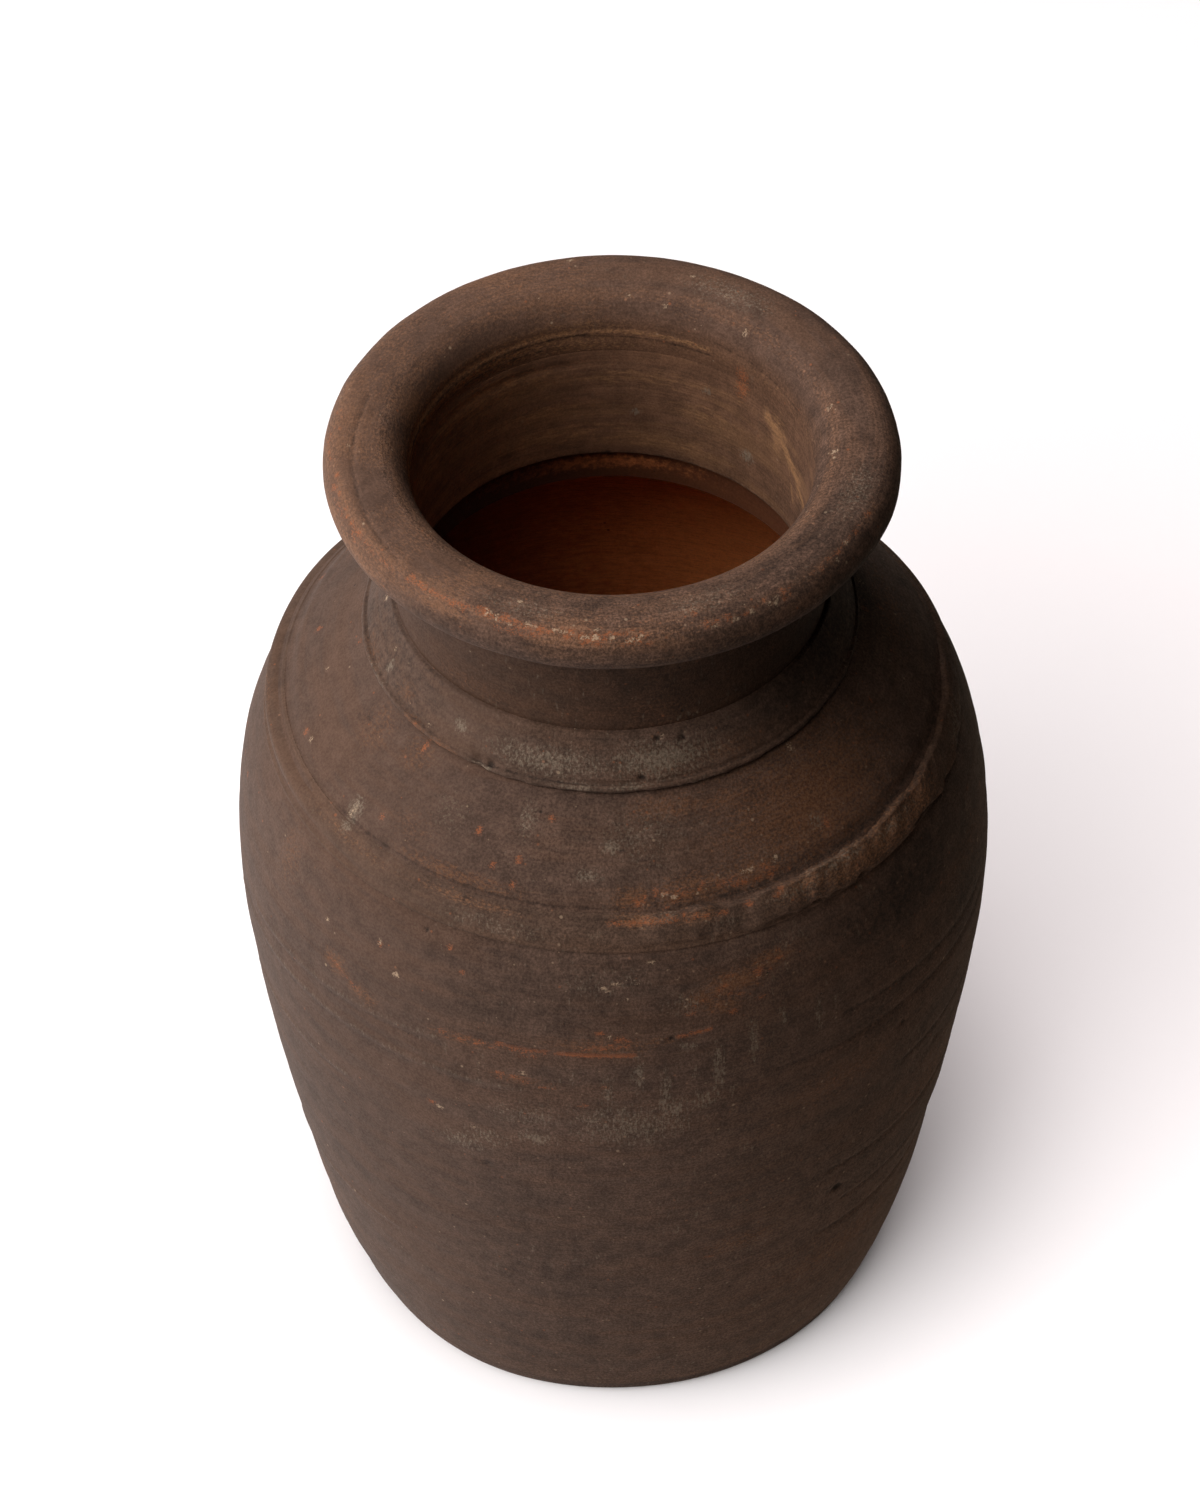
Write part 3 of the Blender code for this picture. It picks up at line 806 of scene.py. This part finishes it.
def rim_ring():
    skin = Skin("rim_ring", (0.65, 0.7), 680)
    hand_wobble(skin)
    skin.rise += skin.outside * (0.15 * skin.speckle(15.0, 81) + 0.04 * skin.rings(2.4, 1.8, 82))
    upper = skin.inside * ease(skin.height, 326.0, 330.0) * (1.0 - ease(skin.height, 339.0, 343.0))
    ridges = skin.rings(2.8, 0.6, 74)
    skin.add_mark("hollow", skin.inside * (1.0 - ease(skin.height, 334.0, 344.5)))
    left_back = skin.between(*LEFT_BACK)
    skin.rise += upper * (0.12 + 0.3 * left_back) * ridges
    streak(skin, "warm", [
        ((-170, 337), (-60, 337.5), 0.9, 0.9), ((-160, 333.5), (-75, 334.5), 0.8, 0.75),
        ((150, 335), (185, 336.5), 0.9, 0.75),
    ], "inner")
    stain(skin, "bare", [(138, 331, 3.4, 4.5, 0.82)], "inner")
    streak(skin, "soot_and_shade", [
        ((-174, 335.4), (-64, 335.8), 0.6, 0.75), ((-168, 331.8), (-74, 332.4), 0.6, 0.65),
        ((148, 333.2), (188, 334.4), 0.6, 0.6), ((112, 336.5), (150, 338.5), 0.7, 0.5),
    ], "inner")
    crease = skin.trail((-105, 75.5), (-50, 82.2), 0.8, "top")
    skin.rise -= 0.32 * crease
    # Painted shade in the crease across the top of the rim at the left.
    skin.add_mark("soot_and_shade", 0.5 * crease)
    across, on_top = skin.levels("top")
    edge = bell(across, RIM_EDGE, 1.9) * on_top
    side = bell(skin.height, RIM_SIDE, 4.0) * ease(skin.out_radius, 0.4, 0.8)
    lip = bell(across, RIM_LIP, 2.8) * on_top
    left = skin.between(-135, -48, 14)
    # The top of the rim is lighter, partly wear and partly painted light: most on the lit left and
    # front, least on the right.
    topside = 0.3 + 0.3 * skin.between(-130, 10, 20) - 0.2 * skin.between(15, 130, 20)
    warm = np.max([
        edge * (0.3 + 0.5 * left + 0.5 * skin.between(-50, 12, 8) + 0.2 * skin.between(14, 75, 8)),
        side * (0.2 + 0.55 * left),
        lip * (0.4 + 0.25 * skin.between(-120, 20, 20)),
        on_top * topside * (1.0 + skin.speckle(18.0, 84)),
        upper * (0.2 + 0.5 * left_back) * (0.75 + 0.5 * ridges),
    ], axis=0)
    skin.add_mark("warm", warm * (0.85 + 0.3 * skin.speckle(12.0, 83)))
    streak(skin, "bare", [
        ((-46, 84), (-30, 83), 0.9, 0.72), ((-66, 84.5), (-50, 84.5), 1.1, 0.5),
        ((-26, 83.5), (-14, 83.5), 1, 0.6), ((-24, 85.3), (-16, 85.3), 0.9, 0.6),
        ((44, 83), (62, 82.5), 1.1, 0.5),
    ], "top")
    strewn(skin, "bare", (-46, 83.5), (-24, 83), 0.7, 14, 85, "top")
    strewn(skin, "bare", (-28, 83), (7, 84.5), 0.8, 52, 86, "top")
    strewn(skin, "fleck", (-28, 82.8), (6, 84.5), 0.8, 26, 87, "top")
    strewn(skin, "bare", (12, 84), (66, 82.8), 0.9, 26, 88, "top")
    strewn(skin, "fleck", (16, 84), (60, 83), 0.8, 9, 91, "top")
    strewn(skin, "bare", (-100, 84.5), (-60, 85), 1.2, 18, 89, "top")
    stain(skin, "bare", [
        (-28, 82.5, 1.8, 1.2, 0.7), (-20, 83, 2.4, 1.2, 0.85), (-15, 83.5, 3, 1.4, 0.9),
        (-9, 83.5, 3, 1.3, 0.75), (-3, 84.3, 2.6, 1.3, 0.75), (3, 85, 2.4, 1.2, 0.75),
        (17, 80, 1.4, 1.3, 0.85), (-92, 85, 5, 1.5, 0.6), (-72, 86, 7, 1.6, 0.55),
    ], "top")
    stain(skin, "fleck", [
        (-26, 82.3, 1.5, 1.2, 0.8), (-11.5, 83.2, 2.4, 1.2, 0.78), (-6, 84.3, 2.4, 1.1, 0.76),
        (-0.5, 84.2, 2.2, 1.1, 0.8), (4.5, 84.8, 1.8, 1.2, 0.78), (-21, 76.3, 2, 1.4, 0.8),
        (27.5, 81.5, 1.4, 1.2, 0.8), (-171.5, 81, 1.5, 1.3, 0.9), (175, 66, 1.4, 1.2, 0.8),
        (164.5, 64.8, 1.4, 1.2, 0.8), (140, 64.6, 1.5, 1.3, 0.85), (84.5, 67, 1.4, 1.8, 0.9),
        (101, 67, 1.6, 1.2, 0.8), (150, 72, 1.6, 1.2, 0.75), (-88, 79, 1.5, 1.3, 0.75),
        (160, 76, 1.4, 1.2, 0.75),
    ], "top")
    # Painted shade on the rim's outside at the right front, and low on its front side.
    shaded = skin.outside * (0.27 * skin.between(18, 120, 16) + 0.2 * skin.between(16, 62, 12))
    shaded += 0.36 * ease(skin.out_radius, 0.6, 0.95) * skin.between(-48, 22, 14)
    skin.add_mark("soot_and_shade", shaded * (1.0 + 0.2 * skin.speckle(9.0, 90)))
    skin.add_mark("rubbed", 0.7 * skin.between(95, 265, 30))
    stain(skin, "bloom_and_highlight", [
        (20, 76, 14, 5, 0.5), (-20, 78, 16, 4, 0.4), (150, 74, 18, 6, 0.5), (70, 77, 16, 5, 0.5),
    ], "top")
    return skin


# Materials

def put(tree, kind, inputs=None, **settings):
    """Adds a node with its settings, and fills its inputs with values or links."""
    node = tree.nodes.new(kind)
    for name, value in settings.items():
        setattr(node, name, value)
    for key, value in (inputs or {}).items():
        if isinstance(value, bpy.types.NodeSocket):
            tree.links.new(value, node.inputs[key])
        else:
            node.inputs[key].default_value = value
    return node


def maths(tree, operation, first, second):
    return put(tree, "ShaderNodeMath", {0: first, 1: second}, operation=operation).outputs[0]


def times(tree, first, second):
    return maths(tree, "MULTIPLY", first, second)


def plus(tree, first, second):
    return maths(tree, "ADD", first, second)


def carried(tree, mark):
    """A value that the piece carries at each point."""
    return put(tree, "ShaderNodeAttribute", attribute_name=mark).outputs["Fac"]


def noise(tree, place, scale, detail, roughness=0.6):
    inputs = {"Vector": place, "Scale": scale, "Detail": detail, "Roughness": roughness}
    return put(tree, "ShaderNodeTexNoise", inputs).outputs[0]


def spread(tree, value, low, high, out_low=0.0, out_high=1.0):
    """The value eased from one range into another."""
    inputs = {"Value": value, "From Min": low, "From Max": high, "To Min": out_low, "To Max": out_high}
    return put(tree, "ShaderNodeMapRange", inputs, interpolation_type="SMOOTHSTEP").outputs[0]


def mixed(tree, share, first, second, blend="MIX"):
    inputs = {0: share, 6: first, 7: second}
    return put(tree, "ShaderNodeMix", inputs, data_type="RGBA", blend_type=blend).outputs[2]


def wheel_place(tree, round_scale, run_scale):
    """Object coordinates with the run along the section for height, to stretch noise round the vase."""
    split = put(tree, "ShaderNodeSeparateXYZ", {0: put(tree, "ShaderNodeTexCoord").outputs["Object"]})
    run = carried(tree, "run")
    parts = {0: times(tree, split.outputs[0], round_scale),
             1: times(tree, split.outputs[1], round_scale),
             2: times(tree, run, run_scale)}
    return put(tree, "ShaderNodeCombineXYZ", parts).outputs[0]


def new_group(name, inputs, outputs):
    tree = bpy.data.node_groups.new(name, "ShaderNodeTree")
    for socket in inputs:
        tree.interface.new_socket(socket, in_out="INPUT", socket_type="NodeSocketFloat")
    for socket in outputs:
        tree.interface.new_socket(socket, in_out="OUTPUT", socket_type="NodeSocketFloat")
    return tree, tree.nodes.new("NodeGroupInput"), tree.nodes.new("NodeGroupOutput")


def clay_grain_group():
    """The grain of coarse fired clay: smoke clouds, wheel streaks, sand, grit, specks and pinholes."""
    names = ("Cloud", "Mottle", "Streak", "Line", "Sand", "Pale Speck", "Red Speck", "Pinhole",
             "Grit", "Grit Chance", "Grit Tone", "Scuff", "Height")
    tree, _, out = new_group("clay_grain", (), names)
    place = put(tree, "ShaderNodeTexCoord").outputs["Object"]
    cloud = spread(tree, noise(tree, place, 12.0, 3.0), 0.34, 0.66)
    mottle = spread(tree, noise(tree, place, 160.0, 4.0, 0.65), 0.28, 0.72)
    streak = spread(tree, noise(tree, wheel_place(tree, 16.0, 0.10), 1.0, 4.0, 0.65), 0.34, 0.66)
    line = spread(tree, noise(tree, wheel_place(tree, 24.0, 1.1), 1.0, 3.0, 0.6), 0.28, 0.72)
    sand = spread(tree, noise(tree, place, 1250.0, 3.0, 0.75), 0.28, 0.72)
    cells = put(tree, "ShaderNodeTexVoronoi", {"Vector": place, "Scale": 190.0})
    kind = put(tree, "ShaderNodeSeparateColor", {0: cells.outputs["Color"]})
    size = spread(tree, kind.outputs[2], 0.0, 1.0, 0.05, 0.13)
    near = spread(tree, maths(tree, "DIVIDE", cells.outputs["Distance"], size), 1.0, 0.5)
    shown = times(tree, near, maths(tree, "GREATER_THAN", kind.outputs[0], 0.70))
    pale = times(tree, shown, maths(tree, "LESS_THAN", kind.outputs[1], 0.5))
    hole = times(tree, shown, maths(tree, "GREATER_THAN", kind.outputs[1], 0.76))
    red = maths(tree, "SUBTRACT", maths(tree, "SUBTRACT", shown, pale), hole)
    grains = put(tree, "ShaderNodeTexVoronoi", {"Vector": place, "Scale": 520.0})
    lot = put(tree, "ShaderNodeSeparateColor", {0: grains.outputs["Color"]})
    reach = spread(tree, lot.outputs[2], 0.0, 1.0, 0.10, 0.34)
    grit = spread(tree, maths(tree, "DIVIDE", grains.outputs["Distance"], reach), 1.0, 0.4)
    dashes = spread(tree, noise(tree, wheel_place(tree, 620.0, 0.16), 1.0, 3.0, 0.6), 0.60, 0.72)
    scuff = times(tree, dashes, spread(tree, noise(tree, place, 38.0, 2.0), 0.42, 0.66))
    height = plus(tree, times(tree, sand, 0.6), times(tree, line, 0.3))
    height = plus(tree, height, times(tree, mottle, 0.4))
    height = maths(tree, "SUBTRACT", height, times(tree, hole, 1.2))
    values = (cloud, mottle, streak, line, sand, pale, red, hole,
              grit, lot.outputs[0], lot.outputs[1], scuff, height)
    for name, socket in zip(names, values):
        tree.links.new(socket, out.inputs[name])
    return tree


def broken_edge_group():
    """A mark broken up by grain. A Stretch above 1 draws the breaks round the vase, below 1 down it."""
    names = ("Amount", "Size", "Stretch", "Break", "Low", "High")
    tree, given, out = new_group("broken_edge", names, ("Mask",))
    given = given.outputs
    split = put(tree, "ShaderNodeSeparateXYZ", {0: wheel_place(tree, 1.0, MM)}).outputs
    along = times(tree, split[2], given["Stretch"])
    place = put(tree, "ShaderNodeCombineXYZ", {0: split[0], 1: split[1], 2: along}).outputs[0]
    ragged = noise(tree, place, given["Size"], 3.0, 0.7)
    swing = times(tree, spread(tree, ragged, 0.25, 0.75, -0.5, 0.5), given["Break"])
    mask = spread(tree, plus(tree, given["Amount"], swing), given["Low"], given["High"])
    shown = times(tree, mask, spread(tree, given["Amount"], 0.03, 0.3))
    tree.links.new(shown, out.inputs["Mask"])
    return tree


CLAY_GRAIN = clay_grain_group()
BROKEN_EDGE = broken_edge_group()
BROKEN = {
    "warm": {"Size": 760.0, "Stretch": 1.8, "Break": 1.15, "Low": 0.15, "High": 1.1},
    "bloom_and_highlight": {"Size": 1200.0, "Stretch": 0.35, "Break": 1.2, "Low": 0.25, "High": 1.1},
    "bare": {"Size": 1500.0, "Stretch": 1.4, "Break": 1.0, "Low": 0.50, "High": 1.0},
    "fleck": {"Size": 1400.0, "Stretch": 1.0, "Break": 0.8, "Low": 0.58, "High": 0.95},
    "soot_and_shade": {"Size": 500.0, "Stretch": 1.0, "Break": 0.4, "Low": 0.2, "High": 0.85},
}
WHEEL_BREAKS = {"Size": 240.0, "Stretch": 4.0, "Break": 0.7, "Low": 0.15, "High": 1.1}

# Colours of marks, the bloom colour also painting highlights, the dark, light and worn tones of the
# smoke-darkened inside, and darker tones for the painted shade on the unlit side of the terracotta
# inside.
WORN_ORANGE = (0.33, 0.100, 0.037)
CREAM = (0.46, 0.32, 0.21)
BLOOM_AND_HIGHLIGHT = (0.205, 0.155, 0.112)
INSIDE = ((0.083, 0.039, 0.021), (0.178, 0.086, 0.048), (0.320, 0.160, 0.072))
SHADED = ((0.075, 0.015, 0.004), (0.115, 0.024, 0.007), (0.150, 0.034, 0.010))


def paint(colour):
    return (*colour, 1.0)


def laid_on(tree, colour, mask, strength, tint):
    """The colour with a tint over it where the mask is."""
    return mixed(tree, times(tree, mask, strength), colour, paint(tint))


def new_material(name):
    material = bpy.data.materials.new(name)
    material.use_nodes = True
    return material, material.node_tree, material.node_tree.nodes["Principled BSDF"]


def marked(tree, mark, breaks=None):
    """The broken mask of one of the marks that the pieces carry."""
    amount = carried(tree, mark)
    group = put(tree, "ShaderNodeGroup", node_tree=BROKEN_EDGE)
    tree.links.new(amount, group.inputs["Amount"])
    for key, value in (breaks or BROKEN[mark]).items():
        group.inputs[key].default_value = value
    return group.outputs["Mask"]


def fired_clay(name, dark, light, warm, worn, warm_share=0.25, speck_share=0.45, grit=0.10, lines=0.10,
               bump=0.8, sandy=0.34, scuffed=0.45, hollow=None, warm_breaks=None):
    """Matte earthenware: smoke tones, streaks, sand and specks, then worn, dusty and sooty marks, some
    of them painted light and shade.
    """
    material, tree, shader = new_material(name)
    black = paint([0.2 * part for part in (hollow or [dark])[0]])
    grain = put(tree, "ShaderNodeGroup", node_tree=CLAY_GRAIN).outputs
    tone = plus(tree, times(tree, grain["Cloud"], 0.3), times(tree, grain["Mottle"], 0.7))
    rubbed = carried(tree, "rubbed")
    rough = spread(tree, rubbed, 0.0, 1.0, 1.0, 0.36)
    calm = spread(tree, rubbed, 0.0, 1.0, 1.0, 0.6)
    tone = plus(tree, times(tree, maths(tree, "SUBTRACT", tone, 0.5), calm), 0.5)
    colour = mixed(tree, tone, paint(dark), paint(light))
    colour = mixed(tree, spread(tree, grain["Streak"], 0.35, 1.0, 0.0, warm_share), colour, paint(warm))
    # Wear, and on the rim top and the terracotta inside also painted light.
    worn_and_lit_there = marked(tree, "warm", warm_breaks)
    colour = laid_on(tree, colour, worn_and_lit_there, 0.8, worn)
    # The hollow tones: the smoke-darkened inside on the rim, and painted shade on the unlit side of the
    # terracotta inside.
    if hollow:
        smoke_and_shade_tone = mixed(tree, tone, paint(hollow[0]), paint(hollow[1]))
        smoke_and_shade_tone = mixed(tree, times(tree, worn_and_lit_there, 0.8), smoke_and_shade_tone, paint(hollow[2]))
        colour = mixed(tree, carried(tree, "hollow"), colour, smoke_and_shade_tone)
    # Grey bloom, with painted highlights along the ridges of the lower wall.
    colour = laid_on(tree, colour, marked(tree, "bloom_and_highlight"), 0.7, BLOOM_AND_HIGHLIGHT)
    colour = laid_on(tree, colour, times(tree, grain["Scuff"], rough), scuffed, BLOOM_AND_HIGHLIGHT)
    sand = spread(tree, grain["Sand"], 0.0, 1.0, 1.0 - sandy, 1.0 + sandy)
    shade = times(tree, sand, spread(tree, grain["Line"], 0.0, 1.0, 1.0 - lines, 1.0 + lines))
    shade = plus(tree, times(tree, maths(tree, "SUBTRACT", shade, 1.0), rough), 1.0)
    grey = put(tree, "ShaderNodeCombineColor", {0: shade, 1: shade, 2: shade}).outputs[0]
    colour = mixed(tree, 1.0, colour, grey, "MULTIPLY")
    chance = times(tree, spread(tree, worn_and_lit_there, 0.0, 1.0, grit, 0.6), rough)
    strewn_grit = times(tree, grain["Grit"], maths(tree, "LESS_THAN", grain["Grit Chance"], chance))
    grit_tone = mixed(tree, spread(tree, grain["Grit Tone"], 0.3, 0.9), paint(WORN_ORANGE), paint(CREAM))
    colour = mixed(tree, times(tree, strewn_grit, 0.8 * speck_share), colour, grit_tone)
    colour = laid_on(tree, colour, grain["Pale Speck"], speck_share, CREAM)
    colour = laid_on(tree, colour, grain["Red Speck"], speck_share, WORN_ORANGE)
    colour = mixed(tree, times(tree, grain["Pinhole"], 0.7), colour, black)
    colour = laid_on(tree, colour, marked(tree, "bare"), 0.75, WORN_ORANGE)
    colour = laid_on(tree, colour, marked(tree, "fleck"), 0.8, CREAM)
    # Soot and dark spots, and painted shade in grooves, creases, under edges and on unlit sides.
    colour = mixed(tree, times(tree, marked(tree, "soot_and_shade"), 0.85), colour, black)
    tree.links.new(colour, shader.inputs["Base Color"])
    tree.links.new(spread(tree, grain["Sand"], 0.0, 1.0, 0.95, 0.78), shader.inputs["Roughness"])
    shader.inputs["Specular IOR Level"].default_value = 0.3
    height = times(tree, grain["Height"], rough)
    bumps = put(tree, "ShaderNodeBump", {"Strength": bump, "Distance": 0.00016, "Height": height})
    tree.links.new(bumps.outputs[0], shader.inputs["Normal"])
    return material


body_clay = fired_clay(
    "smoked_body_clay", (0.050, 0.027, 0.018), (0.117, 0.066, 0.046), (0.115, 0.053, 0.028),
    (0.16, 0.068, 0.031),
)
band_clay = fired_clay(
    "smoked_band_clay", (0.052, 0.028, 0.018), (0.122, 0.068, 0.045), (0.120, 0.055, 0.028),
    (0.215, 0.098, 0.048), grit=0.14, bump=1.0,
)
collar_clay = fired_clay(
    "smoked_collar_clay", (0.052, 0.029, 0.019), (0.120, 0.068, 0.047), (0.110, 0.052, 0.028),
    (0.155, 0.066, 0.031), grit=0.14, bump=0.9,
)
neck_clay = fired_clay(
    "smoked_neck_clay", (0.037, 0.017, 0.009), (0.080, 0.037, 0.020), (0.084, 0.036, 0.017),
    (0.125, 0.053, 0.025), speck_share=0.4,
)
neck_inside = fired_clay(
    "smoked_neck_inside", INSIDE[0], INSIDE[1], (0.205, 0.101, 0.047), INSIDE[2], warm_share=0.45,
    speck_share=0.2, grit=0.04, lines=0.12, bump=0.5, sandy=0.16, scuffed=0.1, warm_breaks=WHEEL_BREAKS,
)
rim_clay = fired_clay(
    "worn_rim_clay", (0.054, 0.028, 0.018), (0.146, 0.078, 0.052), (0.150, 0.071, 0.038),
    (0.196, 0.094, 0.051), warm_share=0.35, speck_share=0.6, grit=0.16, lines=0.14, bump=1.0,
    sandy=0.42, scuffed=0.35, hollow=INSIDE,
)
# On the terracotta inside, the worn tone paints light on the lit right and back, and the hollow tones
# paint shade on the unlit left.
terracotta = fired_clay(
    "bare_terracotta", (0.480, 0.140, 0.044), (0.580, 0.185, 0.060), (0.620, 0.210, 0.070),
    (0.92, 0.33, 0.11), warm_share=0.3, speck_share=0.1, grit=0.02, lines=0.06, bump=0.3, sandy=0.10,
    scuffed=0.0, hollow=SHADED, warm_breaks=WHEEL_BREAKS,
)


def floor_paper():
    material, tree, shader = new_material("pale_paper")
    place = put(tree, "ShaderNodeTexCoord").outputs["Object"]
    tones = (paint((0.90, 0.868, 0.868)), paint((0.92, 0.892, 0.892)))
    colour = mixed(tree, noise(tree, place, 3.0, 3.0), *tones)
    tree.links.new(colour, shader.inputs["Base Color"])
    shader.inputs["Roughness"].default_value = 1.0
    shader.inputs["Specular IOR Level"].default_value = 0.0
    return material


# Pieces on the frame

vase_lit = bpy.data.collections.new("vase_lit")
body_lit = bpy.data.collections.new("body_lit")
floor_lit = bpy.data.collections.new("floor_lit")


def place_piece(skin, outer, inner=None):
    piece = skin.finish(outer, inner)
    vase_lit.objects.link(piece)
    if skin.node in ("lower_wall", "belly_wall", "shoulder_wall", "shoulder_band"):
        body_lit.objects.link(piece)
    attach(piece, "root")
    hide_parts(skin.node)


place_piece(base_disc(), body_clay)
place_piece(lower_wall(), body_clay, terracotta)
place_piece(belly_wall(), body_clay, terracotta)
place_piece(shoulder_wall(), body_clay, terracotta)
place_piece(shoulder_band(), band_clay)
place_piece(neck_collar(), collar_clay)
place_piece(neck_wall(), neck_clay, neck_inside)
place_piece(rim_ring(), rim_clay)


# Floor, light and camera

def floor():
    bm = bmesh.new()
    bmesh.ops.create_grid(bm, x_segments=1, y_segments=1, size=6.0)
    mesh = bpy.data.meshes.new("pale_floor")
    bm.to_mesh(mesh)
    bm.free()
    mesh.materials.append(floor_paper())
    piece = bpy.data.objects.new("pale_floor", mesh)
    scene.collection.objects.link(piece)
    piece.visible_diffuse = False
    piece.visible_glossy = False
    piece.visible_shadow = False
    floor_lit.objects.link(piece)


def add_lamp(name, kind, power, colour, lit):
    light = bpy.data.lights.new(name, kind)
    light.energy = power
    light.color = colour
    lamp = bpy.data.objects.new(name, light)
    lamp.light_linking.receiver_collection = lit
    scene.collection.objects.link(lamp)
    return lamp


def soft_light(name, bearing, tilt, distance, size, power, colour, lit):
    """A soft box at a bearing and a tilt above the floor, aimed at the middle of the vase."""
    lamp = add_lamp(name, "AREA", power, colour, lit)
    lamp.data.shape = "RECTANGLE"
    lamp.data.size, lamp.data.size_y = size
    turn, rise = math.radians(bearing), math.radians(tilt)
    toward = Vector((math.sin(turn) * math.cos(rise), -math.cos(turn) * math.cos(rise), math.sin(rise)))
    place = Vector((0, 0, LIGHT_AIM)) + toward * distance
    lamp.matrix_world = Matrix.Translation(place) @ toward.to_track_quat("Z", "Y").to_matrix().to_4x4()


def even_light(name, strength, colour, spread_degrees, lit):
    """The same soft light from straight above all over the floor."""
    lamp = add_lamp(name, "SUN", strength, colour, lit)
    lamp.data.angle = math.radians(spread_degrees)
    lamp.location = (0, 0, LAMP_HEIGHT)


def studio_world():
    """Light thrown back by the pale floor: most from the lit left and the back, and none from above."""
    world = bpy.data.worlds.new("studio")
    world.use_nodes = True
    tree = world.node_tree
    back = tree.nodes["Background"]
    direction = put(tree, "ShaderNodeTexCoord").outputs["Generated"]
    toward = put(tree, "ShaderNodeSeparateXYZ", {0: direction})
    left = maths(tree, "MAXIMUM", times(tree, toward.outputs[0], -2.55), 0.0)
    behind = maths(tree, "MAXIMUM", times(tree, toward.outputs[1], 0.6), 0.0)
    sides = plus(tree, plus(tree, left, behind), 0.08)
    below = spread(tree, toward.outputs[2], 0.0, -0.3)
    tree.links.new(times(tree, below, sides), back.inputs["Strength"])
    to_left = spread(tree, toward.outputs[0], 0.3, -0.3)
    tint = mixed(tree, to_left, paint((1.0, 0.84, 0.66)), paint((1.0, 0.99, 0.98)))
    tree.links.new(tint, back.inputs["Color"])
    scene.world = world


def set_camera():
    data = bpy.data.cameras.new("camera")
    data.sensor_width = SENSOR
    data.lens = PHOTO_FOCAL / PHOTO_HEIGHT * SENSOR
    camera = bpy.data.objects.new("camera", data)
    turn = Matrix.Rotation(math.pi / 2 - CAMERA_DIP, 4, "X") @ Matrix.Rotation(CAMERA_ROLL, 4, "Z")
    camera.matrix_world = Matrix.Translation(CAMERA_PLACE) @ turn
    scene.collection.objects.link(camera)
    scene.camera = camera


floor()
soft_light("window_back_light", -130, 46, 2.0, (1.2, 1.2), 18.8, (1, 1, 1), vase_lit)
soft_light("window_front_light", -75, 44, 2.0, (1.2, 1.2), 24.8, (1, 1, 1), vase_lit)
soft_light("front_left_light", -50, 34, 2.2, (1.2, 1.6), 11, (1, 0.97, 0.94), vase_lit)
soft_light("front_high_light", -22, 62, 2.2, (1.2, 1.2), 10.5, (1, 0.92, 0.82), vase_lit)
soft_light("floor_bounce_light", 40, -60, 1.2, (1.2, 1.2), 3.3, (1, 0.74, 0.55), body_lit)
soft_light("floor_front_light", -30, 35, 2.2, (2.4, 1.8), 39, (1, 1, 1), floor_lit)
soft_light("floor_left_light", -55, 40, 2.2, (2.4, 1.8), 28, (1, 1, 1), floor_lit)
soft_light("floor_high_light", -42, 67, 2.2, (1.8, 1.8), 23, (1, 1, 1), floor_lit)
even_light("ceiling_light", 1.85, (1, 0.93, 0.935), 38, floor_lit)
studio_world()
scene.view_settings.view_transform = "Standard"
set_camera()
